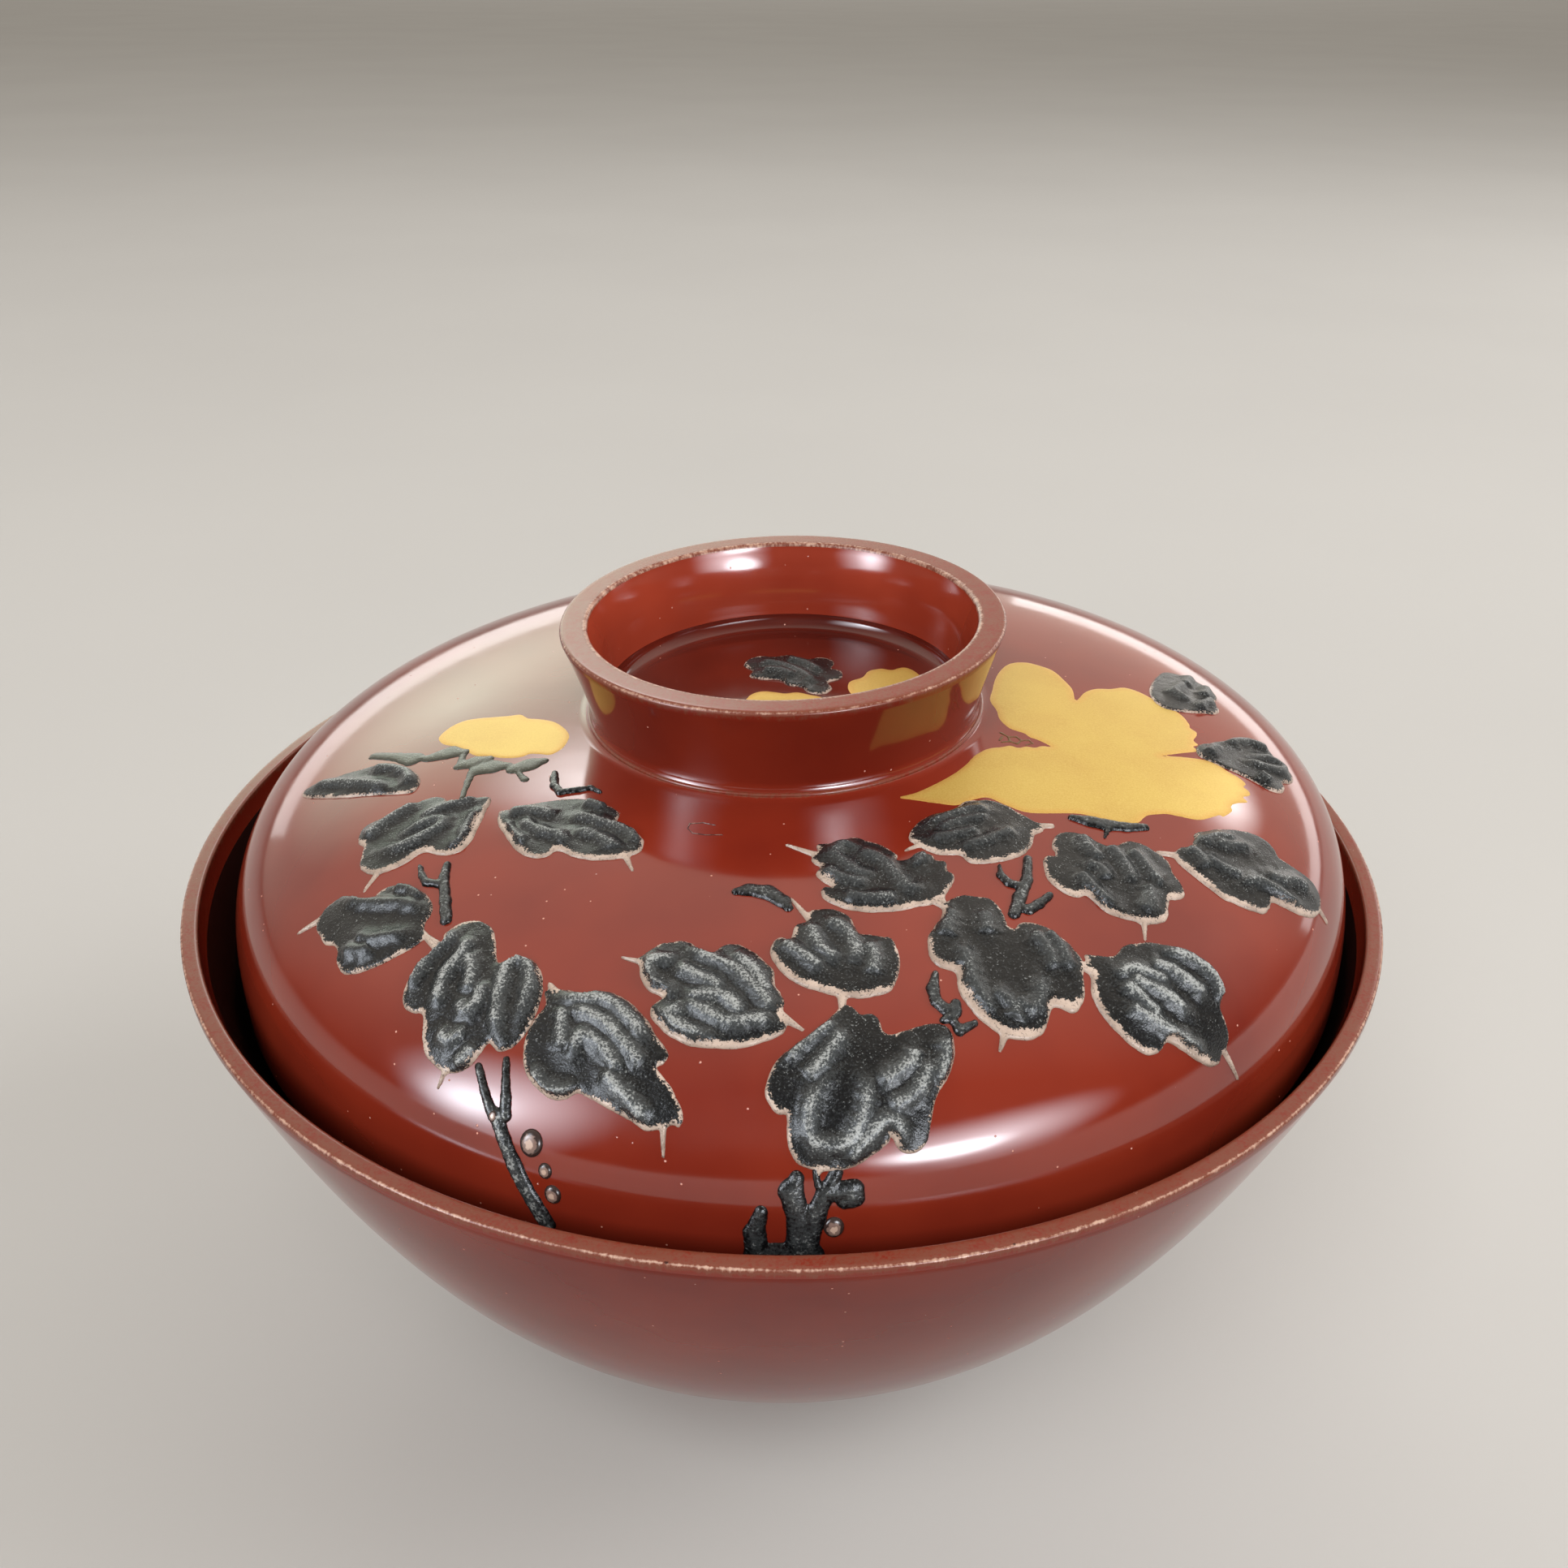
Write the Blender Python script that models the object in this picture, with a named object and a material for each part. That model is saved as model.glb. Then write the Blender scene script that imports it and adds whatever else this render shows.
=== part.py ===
"""Lidded bowl of lacquered turned wood, with raised lacquer leaves on its lid.

The bowl stands on a low foot ring.  The lid drops a little way inside the bowl's lip
and rests on the flaring inner wall, slightly off centre, as it was set down.  The lid's
ring handle is turned in one with it.  Metres, +Z up, origin under the middle of the foot.
"""

from dataclasses import dataclass
from math import cos, hypot, pi, radians, sin, sqrt

import bmesh
import bpy
from mathutils import Matrix, Vector

# Sides of every turned surface
SEGMENTS = 56

# Bowl
RIM_RADIUS = 0.0645  # outside of the lip
LIP_WIDTH = 0.0017  # wall at the lip, which is flat on top
LIP_RISE = 0.0009  # lip's widest line up to its flat top
LIP_CORNER = 0.0003
BODY_DEPTH = 0.0551  # lip's widest line down to the lowest point of the body's curve
BODY_FULLNESS = 3.56  # exponent of that curve: more is flatter below and steeper above
FLOOR_THICKNESS = 0.0030  # wood between the well and the hollow of the foot
FOOT_RADIUS = 0.0295  # outside of the foot ring where it stands
FOOT_SPREAD = 0.0009  # how much wider the ring is where it meets the body
FOOT_HEIGHT = 0.0075  # ground up to where the ring meets the body
FOOT_WALL = 0.0032  # width of the ring's standing face
FOOT_HOLLOW = 0.0058  # depth of the hollow inside the ring

# Lid
LID_DROP_GAP = 0.0026  # from the inside of the lip in to the lid's edge
LID_WALL = 0.0022
LID_RISE = 0.0231  # lid's edge up to the crown of its dome
LID_SQUARENESS = 3.5  # exponent of the dome's curve: 2 is an ellipse, more is flatter on top
LID_EDGE_BEVEL = 0.0006
LID_GAP = 0.0003  # between the lid and the wall that it rests on
LID_SHIFT = 0.0008  # how far the lid sits towards +X
LID_TILT = radians(1.7)  # how far its -X side hangs lower

# Ring handle, turned in one with the lid
RING_BEAD_RADIUS = 0.0213
RING_BEAD_HEIGHT = 0.0005
RING_WAIST_RADIUS = 0.0208
RING_TOP_RADIUS = 0.0233
RING_HEIGHT = 0.0102  # above the dome at the bead
RING_FLARE = 1.3  # exponent of its outer side: 1 is a cone, more is hollower
RING_WALL_AT_TOP = 0.0029
RING_CORNER = 0.0004
RING_FLOOR_RADIUS = 0.0192
RING_FILLET = 0.0016
RING_DEPTH = 0.0100

# Raised lacquer leaves
LEAF_EDGE = 0.00035  # height of a leaf at its outline
LEAF_CROWN = 0.00075  # height along the middle of a lobe
LEAF_SUNK = 0.0006  # how far a leaf's underside is buried in the lid
LEAF_SIDES = 20
STEM_HEIGHT = 0.0006
SPRAY_UNITS = 60  # the spray is drawn on a lid this many units in radius


@dataclass(frozen=True)
class Leaf:
    """A leaf on the dome: its base by bearing in degrees and units run down from the crown.

    Each lobe leaves the base at a heading in degrees, turned from the lid's edge direction
    towards the lid's rim, and has a length and a width in units.
    """

    bearing: float
    down: float
    lobes: tuple


@dataclass(frozen=True)
class Stem:
    """A straight brush stroke on the dome, with its heading, length and width."""

    bearing: float
    down: float
    heading: float
    length: float
    width: float


LEAVES = (
    Leaf(-156.7, 40.8, ((132, 13.0, 3.0), (155, 10.0, 2.6))),
    Leaf(-146.4, 35.2, ((107, 12.8, 4.4), (84, 13.2, 5.6), (53, 9.0, 3.8))),
    Leaf(-141.2, 34.6, ((329, 11.8, 4.2), (352, 15.8, 4.6), (11, 9.0, 3.6))),
    Leaf(-130.4, 49.4, ((192, 8.6, 4.2), (159, 13.4, 5.0), (129, 8.4, 4.2))),
    Leaf(-124.8, 46.2, ((102, 9.4, 3.4), (73, 13.0, 6.0))),
    Leaf(-117.1, 47.6, ((74, 8.6, 3.8), (104, 8.8, 3.8))),
    Leaf(-113.4, 49.8, ((67, 9.0, 4.8), (43, 12.4, 4.4), (35, 16.0, 4.2), (19, 11.8, 5.0))),
    Leaf(-89.8, 50.0, ((233, 9.4, 4.4), (202, 13.4, 5.2), (178, 10.2, 3.6))),
    Leaf(-84.1, 48.0, ((230, 7.9, 3.4), (269, 9.8, 5.0), (303, 7.6, 3.6), (342, 4.4, 3.2))),
    Leaf(-84.0, 49.6, ((132, 10.6, 3.4), (104, 12.0, 6.2), (74, 12.2, 4.0), (32, 8.4, 4.2))),
    Leaf(-69.5, 39.0, ((198, 10.2, 3.6), (219, 11.8, 4.6), (247, 10.0, 4.4), (279, 6.0, 3.6))),
    Leaf(-67.3, 39.6, ((122, 8.6, 3.8), (96, 14.8, 6.4), (74, 13.8, 4.8))),
    Leaf(-47.9, 35.2, ((180, 8.8, 3.6), (199, 11.6, 4.2), (220, 10.2, 4.2), (251, 6.8, 4.0))),
    Leaf(-46.4, 36.8, ((132, 9.0, 3.8), (98, 12.9, 5.6), (77, 12.2, 4.2))),
    Leaf(-38.6, 46.1, ((86, 9.0, 4.2), (56, 15.8, 5.2), (35, 11.6, 4.8))),
    Leaf(-59.4, 50.0, ((87, 9.4, 4.4), (58, 14.4, 5.6), (38, 12.6, 4.4), (24, 8.6, 3.8))),
    Leaf(0.7, 40.9, ((33, 9.8, 4.0), (56, 10.2, 4.2), (84, 7.4, 4.0))),
    Leaf(-12.3, 43.8, ((98, 9.4, 3.8), (76, 10.8, 4.2), (55, 9.4, 3.8))),
)
STEMS = (
    Stem(-116.2, 57.8, 57, 4.4, 1.4),
    Stem(-114.0, 56.4, 76, 4.6, 1.6),
    Stem(-113.6, 60.9, 62, 6.0, 1.6),
    Stem(-96.7, 36.0, 345, 2.8, 1.6),
    Stem(-93.2, 35.3, 45, 3.6, 1.6),
    Stem(-136.8, 42.4, 37, 7.6, 1.1),
    Stem(-55.3, 38.1, 137, 7.4, 1.3),
    Stem(-60.4, 43.2, 349, 2.8, 1.2),
    Stem(-74.6, 47.2, 102, 3.0, 1.3),
    Stem(-75.4, 51.4, 10, 2.8, 1.2),
    Stem(-88.6, 61.6, 70, 3.8, 2.2),
)


def arc(centre, radius, start, end, count):
    """Points of an arc in the profile plane, angles in degrees from +radius towards +Z."""
    return [
        (
            centre[0] + radius * cos(radians(start + (end - start) * i / (count - 1))),
            centre[1] + radius * sin(radians(start + (end - start) * i / (count - 1))),
        )
        for i in range(count)
    ]


def evenly(curve, count, fine=600):
    """Points of curve(t), for t from 0 to 1, spaced evenly along its length."""
    points = [curve(i / fine) for i in range(fine + 1)]
    run = [0.0]
    for before, after in zip(points, points[1:]):
        run.append(run[-1] + hypot(after[0] - before[0], after[1] - before[1]))
    picked, at = [], 0
    for i in range(count):
        while at < fine and run[at] < run[-1] * i / (count - 1) * (1 - 1e-9):
            at += 1
        picked.append(points[at])
    return picked


# Levels that follow from the sizes above
FOOT_TOP_RADIUS = FOOT_RADIUS + FOOT_SPREAD
BODY_BASE = FOOT_HEIGHT - BODY_DEPTH * (FOOT_TOP_RADIUS / RIM_RADIUS) ** BODY_FULLNESS
LIP_LEVEL = BODY_BASE + BODY_DEPTH
WELL_LEVEL = FOOT_HOLLOW + FLOOR_THICKNESS
WELL_RADIUS = RIM_RADIUS - LIP_WIDTH
LID_RADIUS = WELL_RADIUS - LID_DROP_GAP
UNIT = LID_RADIUS / SPRAY_UNITS


def body_outside(share):
    """Outer curve of the body, from the foot ring (0) to the lip (1)."""
    radius = FOOT_TOP_RADIUS + (RIM_RADIUS - FOOT_TOP_RADIUS) * share
    return radius, BODY_BASE + BODY_DEPTH * (radius / RIM_RADIUS) ** BODY_FULLNESS


def body_inside(share):
    """Inner curve of the body, from the lip (0) to the middle of the well (1)."""
    radius = WELL_RADIUS * (1 - share)
    return radius, WELL_LEVEL + (LIP_LEVEL - WELL_LEVEL) * (radius / WELL_RADIUS) ** BODY_FULLNESS


def wall_radius(level):
    """Inner radius of the bowl at a height between its well and its lip."""
    share = (level - WELL_LEVEL) / (LIP_LEVEL - WELL_LEVEL)
    return WELL_RADIUS * min(1.0, max(0.0, share)) ** (1 / BODY_FULLNESS)


def bowl_profile():
    """Outline of the bowl's section, from under the foot round to the middle of the well."""
    foot_inside = FOOT_RADIUS - FOOT_WALL
    top = LIP_LEVEL + LIP_RISE
    return [
        (0.0, FOOT_HOLLOW),
        (foot_inside * 0.9, FOOT_HOLLOW),
        (foot_inside, FOOT_HOLLOW * 0.85),
        (foot_inside, 0.0),
        (FOOT_RADIUS, 0.0),
        *evenly(body_outside, 10),
        (RIM_RADIUS, top - LIP_CORNER),
        (RIM_RADIUS - LIP_CORNER, top),
        (WELL_RADIUS + LIP_CORNER, top),
        (WELL_RADIUS, top - LIP_CORNER),
        *evenly(body_inside, 10)[1:-1],
        (0.0, WELL_LEVEL),
    ]


def dome(share, radius, rise):
    """Lid's dome from its crown (0) to its edge (1), in the lid's own frame."""
    turn = share * pi / 2
    power = 2 / LID_SQUARENESS
    return radius * sin(turn) ** power, rise * max(0.0, cos(turn)) ** power


def dome_level(radius):
    """Height of the dome's outside above the lid's edge."""
    return LID_RISE * (1 - (radius / LID_RADIUS) ** LID_SQUARENESS) ** (1 / LID_SQUARENESS)


def dome_below(radius, level_at, surface_radius, surface_rise, count):
    """Even points of a dome from a given radius out to its edge."""
    start = next(i / 2000 for i in range(2001) if dome(i / 2000, surface_radius, surface_rise)[0] >= radius)
    points = evenly(lambda t: dome(start + (1 - start) * t, surface_radius, surface_rise), count)
    return [(radius, level_at), *points[1:]]


def ring_profile():
    """Outline of the ring handle, from the middle of its floor out to its bead."""
    foot = dome_level(RING_BEAD_RADIUS)
    top = foot + RING_HEIGHT
    inner = RING_TOP_RADIUS - RING_WALL_AT_TOP
    floor = top - RING_DEPTH
    waist = foot + RING_BEAD_HEIGHT * 1.5
    outside = []
    for i in range(1, 4):
        share = i / 4
        flare = (1 - share) ** RING_FLARE
        radius = RING_WAIST_RADIUS + (RING_TOP_RADIUS - RING_WAIST_RADIUS) * flare
        outside.append((radius, top - RING_CORNER - (top - RING_CORNER - waist) * share))
    return [
        (0.0, floor),
        *arc((RING_FLOOR_RADIUS - RING_FILLET, floor + RING_FILLET), RING_FILLET, -90, 0, 3),
        (inner, top - RING_CORNER),
        (inner + RING_CORNER, top),
        (RING_TOP_RADIUS - RING_CORNER, top),
        (RING_TOP_RADIUS, top - RING_CORNER),
        *outside,
        (RING_WAIST_RADIUS, waist),
        (RING_BEAD_RADIUS, foot + RING_BEAD_HEIGHT * 0.6),
    ]


def lid_profile():
    """Outline of the lid's section, from the ring's floor round to under its crown."""
    inside_radius, inside_rise = LID_RADIUS - LID_WALL, LID_RISE - LID_WALL
    outside = dome_below(RING_BEAD_RADIUS, dome_level(RING_BEAD_RADIUS), LID_RADIUS, LID_RISE, 11)
    inside = evenly(lambda t: dome(1 - t, inside_radius, inside_rise), 9)
    return [
        *ring_profile(),
        *outside[:-1],
        (LID_RADIUS, LID_EDGE_BEVEL),
        (LID_RADIUS - LID_EDGE_BEVEL, 0.0),
        *inside[:-1],
        (0.0, inside_rise),
    ]


def lid_seat():
    """Height of the lid's edge plane that keeps its gap to the bowl all the way round."""
    lean = Matrix.Rotation(-LID_TILT, 3, "Y")
    skirt = [
        lean @ Vector((LID_RADIUS * cos(turn), LID_RADIUS * sin(turn), up)) + Vector((LID_SHIFT, 0, 0))
        for turn in (2 * pi * i / SEGMENTS for i in range(SEGMENTS))
        for up in (0.0, LID_EDGE_BEVEL, LID_RISE / 6)
    ]

    def clears(level):
        return all(
            point.z + level > LIP_LEVEL
            or hypot(point.x, point.y) + LID_GAP <= wall_radius(point.z + level)
            for point in skirt
        )

    low, high = WELL_LEVEL, LIP_LEVEL + LID_RISE
    for _ in range(40):
        middle = (low + high) / 2
        low, high = (low, middle) if clears(middle) else (middle, high)
    return high


def lacquer(name, colour, roughness):
    """A glossy lacquer."""
    material = bpy.data.materials.new(name)
    material.use_nodes = True
    shader = material.node_tree.nodes["Principled BSDF"]
    shader.inputs["Base Color"].default_value = (*colour, 1.0)
    shader.inputs["Roughness"].default_value = roughness
    shader.inputs["Metallic"].default_value = 0.0
    return material


def add_object(name, mesh_maker):
    """A new object from a bmesh, with smooth shading and sharp edges kept."""
    bmesh.ops.recalc_face_normals(mesh_maker, faces=mesh_maker.faces)
    mesh = bpy.data.meshes.new(name)
    mesh_maker.to_mesh(mesh)
    mesh_maker.free()
    mesh.shade_smooth()
    mesh.set_sharp_from_angle(angle=radians(35))
    added = bpy.data.objects.new(name, mesh)
    bpy.context.scene.collection.objects.link(added)
    return added


def turned(name, profile):
    """A solid turned from a profile that starts and ends on the axis."""
    maker = bmesh.new()
    points = [maker.verts.new((radius, 0, level)) for radius, level in profile]
    edges = [maker.edges.new(pair) for pair in zip(points, points[1:])]
    bmesh.ops.spin(
        maker,
        geom=points + edges,
        cent=(0, 0, 0),
        axis=(0, 0, 1),
        dvec=(0, 0, 0),
        angle=2 * pi,
        steps=SEGMENTS,
        use_merge=True,
        use_duplicate=False,
    )
    bmesh.ops.remove_doubles(maker, verts=maker.verts, dist=1e-6)
    return add_object(name, maker)


def dome_run():
    """Radius, level and outward normal of the dome at even steps from crown to edge."""
    steps = 800
    points = [dome(i / steps, LID_RADIUS, LID_RISE) for i in range(steps + 1)]
    table, run = [], 0.0
    for before, after in zip(points, points[1:]):
        length = hypot(after[0] - before[0], after[1] - before[1])
        normal = ((before[1] - after[1]) / length, (after[0] - before[0]) / length)
        table.append((run, before, normal))
        run += length
    return table


DOME_RUN = dome_run()


def on_dome(bearing, down, across, along, lift):
    """A point of the dome, by a place on it and a step across and along it in units."""
    wanted = (down + along) * UNIT
    low, high = 0, len(DOME_RUN) - 1
    while high - low > 1:
        middle = (low + high) // 2
        low, high = (middle, high) if DOME_RUN[middle][0] <= wanted else (low, middle)
    run, (radius, level), normal = DOME_RUN[low]
    radius += normal[1] * (wanted - run)
    level -= normal[0] * (wanted - run)
    turn = radians(bearing) + across * UNIT / radius
    radius += normal[0] * lift
    return Vector((radius * cos(turn), radius * sin(turn), level + normal[1] * lift))


def inside_lobes(across, along, lobes):
    """How deep a point lies inside a leaf, in units: under 0 outside it."""
    deepest = -1e9
    for heading, length, width in lobes:
        toward = (cos(radians(heading)), sin(radians(heading)))
        start, reach = 0.12 * length, length - width / 2
        share = (across * toward[0] + along * toward[1] - start) / (reach - start)
        share = min(1.0, max(0.0, share))
        middle = start + (reach - start) * share
        half_width = width * (0.22 + 0.28 * sqrt(share))
        deepest = max(deepest, half_width - hypot(across - toward[0] * middle, along - toward[1] * middle))
    return deepest


def pad(name, place, outline, hub, shares, lift_at):
    """A closed pad on the dome: buried underside, upright side, and a crowned top.

    The top has a ring at each share of the way from the hub out to the outline.
    """
    maker = bmesh.new()
    rings = [[maker.verts.new(on_dome(*place, *point, -LEAF_SUNK)) for point in outline]]
    for share in shares:
        ring = []
        for across, along in outline:
            x = hub[0] + (across - hub[0]) * share
            y = hub[1] + (along - hub[1]) * share
            ring.append(maker.verts.new(on_dome(*place, x, y, lift_at(x, y))))
        rings.append(ring)
    for lower, upper in zip(rings, rings[1:]):
        for i, vertex in enumerate(lower):
            j = (i + 1) % len(lower)
            maker.faces.new((vertex, lower[j], upper[j], upper[i]))
    top = maker.verts.new(on_dome(*place, *hub, lift_at(*hub)))
    under = maker.verts.new(on_dome(*place, *hub, -LEAF_SUNK))
    for ring, tip in ((rings[-1], top), (rings[0], under)):
        for i, vertex in enumerate(ring):
            maker.faces.new((vertex, ring[(i + 1) % len(ring)], tip))
    return add_object(name, maker)


def leaf_pad(name, leaf):
    """The raised pad of one lobed leaf."""
    weight = sum(width * length for _, length, width in leaf.lobes)
    hub = [
        sum(width * length * 0.55 * length * turn(radians(heading)) for heading, length, width in leaf.lobes)
        / weight
        for turn in (cos, sin)
    ]
    outline = []
    for i in range(LEAF_SIDES):
        ray = (cos(2 * pi * i / LEAF_SIDES), sin(2 * pi * i / LEAF_SIDES))
        reaches = (step / 10 for step in range(130, 5, -1))
        points = ((hub[0] + ray[0] * reach, hub[1] + ray[1] * reach) for reach in reaches)
        outline.append(next(point for point in points if inside_lobes(*point, leaf.lobes) > 0))

    def lift_at(across, along):
        depth = max(0.0, inside_lobes(across, along, leaf.lobes))
        return LEAF_EDGE + (LEAF_CROWN - LEAF_EDGE) * min(1.0, depth / 1.6)

    return pad(name, (leaf.bearing, leaf.down), outline, hub, (1.0, 0.6), lift_at)


def stem_pad(name, stem):
    """The raised pad of one brush stroke, with round ends."""
    toward = (cos(radians(stem.heading)), sin(radians(stem.heading)))
    half = stem.width / 2
    outline = []
    for end, turn in ((stem.length - half, -90), (half, 90)):
        for i in range(4):
            angle = radians(stem.heading + turn + 60 * i)
            outline.append((toward[0] * end + half * cos(angle), toward[1] * end + half * sin(angle)))
    hub = (toward[0] * stem.length / 2, toward[1] * stem.length / 2)
    return pad(name, (stem.bearing, stem.down), outline, hub, (1.0,), lambda across, along: STEM_HEIGHT)


def join_to(body, cutter):
    """Joins a pad to the lid."""
    cutter.parent = body
    cutter.hide_render = True
    cutter.display_type = "WIRE"
    union = body.modifiers.new(cutter.name, "BOOLEAN")
    union.operation = "UNION"
    union.solver = "EXACT"
    union.object = cutter


def build():
    """Makes the bowl, and the lid with its raised leaves where it rests."""
    for old in list(bpy.data.objects):
        bpy.data.objects.remove(old)

    red_lacquer = lacquer("red_brown_lacquer", (0.19, 0.028, 0.014), 0.16)
    lid_lacquer = lacquer("red_brown_lid_lacquer", (0.24, 0.032, 0.016), 0.12)

    bowl = turned("bowl", bowl_profile())
    bowl.data.materials.append(red_lacquer)

    lid = turned("lid", lid_profile())
    lid.data.materials.append(lid_lacquer)
    for number, leaf in enumerate(LEAVES, 1):
        join_to(lid, leaf_pad(f"leaf_{number:02d}", leaf))
    for number, stem in enumerate(STEMS, 1):
        join_to(lid, stem_pad(f"stem_{number:02d}", stem))
    lid.location = (LID_SHIFT, 0, lid_seat())
    lid.rotation_euler = (0, -LID_TILT, 0)


build()
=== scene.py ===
"""Finished look of a lacquered soup bowl with its lid on.

The bowl and its lid are turned wood under red-brown lacquer, black inside.  The lid is
decorated with leaves of raised black lacquer on a tan ground and a blossom in gold powder.
Sizes are in metres and match the solids; drawings on the lid are in millimetres.
"""

import logging
from collections.abc import Callable, Sequence
from dataclasses import dataclass, field
from enum import Enum
from math import cos, pi, radians, sin

import bmesh
import bpy
import numpy as np
from mathutils import Matrix, Vector


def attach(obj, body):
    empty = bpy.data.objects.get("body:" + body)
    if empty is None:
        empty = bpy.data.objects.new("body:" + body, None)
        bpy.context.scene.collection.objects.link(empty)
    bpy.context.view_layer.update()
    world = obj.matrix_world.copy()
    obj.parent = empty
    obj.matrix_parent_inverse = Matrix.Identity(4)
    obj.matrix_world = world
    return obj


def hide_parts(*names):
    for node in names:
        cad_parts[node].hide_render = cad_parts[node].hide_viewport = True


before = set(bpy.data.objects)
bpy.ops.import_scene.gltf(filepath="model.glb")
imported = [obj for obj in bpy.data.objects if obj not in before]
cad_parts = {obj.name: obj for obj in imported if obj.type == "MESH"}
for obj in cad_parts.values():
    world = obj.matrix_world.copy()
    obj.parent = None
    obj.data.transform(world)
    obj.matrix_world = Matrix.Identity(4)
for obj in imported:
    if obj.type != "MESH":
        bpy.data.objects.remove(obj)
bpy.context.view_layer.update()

LOG = logging.getLogger("lidded_bowl")
MM = 0.001
BODY = "root"
ON_AXIS = 1e-9
TURNED_CREASE = 50.0
RAISED_CREASE = 62.0
LAMP_MIDDLE = (0.5, 0.5, 0.0)

Socket = bpy.types.NodeSocket
Tree = bpy.types.NodeTree
Material = bpy.types.Material
Piece = bpy.types.Object
Array = np.ndarray
Input = Socket | float | tuple
Inputs = dict[str | int, Input]
Point = tuple[float, float]
Profile = list[tuple[float, float, float, int]]


def linear(colour: str) -> tuple[float, float, float, float]:
    """Turns an sRGB hex colour into the linear colour that shaders take.

    Args:
        colour: Six hex digits after a hash sign.

    Returns:
        Red, green, blue and an alpha of 1.
    """
    parts = [int(colour[i : i + 2], 16) / 255 for i in (1, 3, 5)]
    red, green, blue = (c / 12.92 if c <= 0.04045 else ((c + 0.055) / 1.055) ** 2.4 for c in parts)
    return red, green, blue, 1.0


class Node(Enum):
    """Kinds of node: type, settings, inputs in the order that they are given, and output."""

    PLACE = ("TexCoord", {}, (), "Object")
    DIRECTION = ("TexCoord", {}, (), "Generated")
    ON_LAMP = ("NewGeometry", {}, (), "Parametric")
    SEEN_DIRECTLY = ("LightPath", {}, (), "Is Camera Ray")
    MARK = ("Attribute", {}, (), "Fac")
    STRETCH = ("Mapping", {}, ("Vector", "Scale"), 0)
    HEIGHT = ("SeparateXYZ", {}, (0,), "Z")
    RED = ("SeparateColor", {}, (0,), 0)
    NOISE = ("TexNoise", {}, ("Vector", "Scale", "Detail", "Roughness"), 0)
    CELLS = ("TexVoronoi", {"feature": "F1"}, ("Vector", "Scale"), "Distance")
    RANGE = ("MapRange", {"clamp": True}, (0, 1, 2, 3, 4), 0)
    BLEND = ("Mix", {"data_type": "RGBA"}, (0, 6, 7), 2)
    CHOICE = ("Mix", {"data_type": "FLOAT"}, (0, 2, 3), 0)
    SUM = ("Math", {"operation": "ADD"}, (0, 1), 0)
    LESS = ("Math", {"operation": "SUBTRACT"}, (0, 1), 0)
    TIMES = ("Math", {"operation": "MULTIPLY"}, (0, 1), 0)
    POWER = ("Math", {"operation": "POWER"}, (0, 1), 0)
    LARGER = ("Math", {"operation": "MAXIMUM"}, (0, 1), 0)
    APART = ("VectorMath", {"operation": "DISTANCE"}, (0, 1), "Value")
    RELIEF = ("Bump", {}, ("Height", "Distance"), 0)


def connect(node: bpy.types.Node, inputs: Inputs) -> None:
    """Sets a node's inputs, by name or number, to values or to other nodes' outputs."""
    for name, value in inputs.items():
        if isinstance(value, bpy.types.NodeSocket):
            node.id_data.links.new(value, node.inputs[name])
        else:
            node.inputs[name].default_value = value


def add_node(tree: Tree, kind: Node, *inputs: Input, **settings: str) -> Socket:
    """Adds a node with its settings, values and links.

    Args:
        tree: The node tree.
        kind: What the node does.
        inputs: Its inputs in the order of its kind; those left out keep Blender's value.
        settings: Settings beyond those of its kind.

    Returns:
        The output that its kind names.
    """
    ending, fixed, order, output = kind.value
    node = tree.nodes.new(f"ShaderNode{ending}")
    for name, value in {**fixed, **settings}.items():
        setattr(node, name, value)
    connect(node, dict(zip(order, inputs)))
    return node.outputs[output]


def scale(width_mm: float) -> float:
    """Scale of a pattern whose blotches are about so many millimetres wide."""
    return 1 / (width_mm * MM)


def specks(tree: Tree, where: Socket, spacing_mm: float, radius_mm: float, kept: float) -> Socket:
    """Scattered round specks.

    Args:
        tree: The node tree.
        where: Place on the object.
        spacing_mm: Usual distance between the cells that may hold a speck.
        radius_mm: Radius of a speck.
        kept: Share of the cells that hold one.

    Returns:
        1 in a speck, 0 elsewhere.
    """
    cells = add_node(tree, Node.CELLS, where, scale(spacing_mm))
    lot = add_node(tree, Node.RED, cells.node.outputs["Color"])
    edge = radius_mm / spacing_mm
    near = add_node(tree, Node.RANGE, cells, edge, edge * 0.6)
    return add_node(tree, Node.TIMES, near, add_node(tree, Node.RANGE, lot, kept, kept * 0.98))


@dataclass(frozen=True)
class Finish:
    """A finish of the bowl, its lid or the floor."""

    name: str

    def coat(self, tree: Tree, where: Socket) -> Inputs:
        """Mixes the finish.

        Args:
            tree: The material's node tree.
            where: Place on the object.

        Returns:
            The shader's inputs by name.
        """
        raise NotImplementedError

    def make(self) -> Material:
        """Builds the material."""
        material = bpy.data.materials.new(self.name)
        material.use_nodes = True
        tree = material.node_tree
        connect(tree.nodes["Principled BSDF"], self.coat(tree, add_node(tree, Node.PLACE)))
        return material


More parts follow.
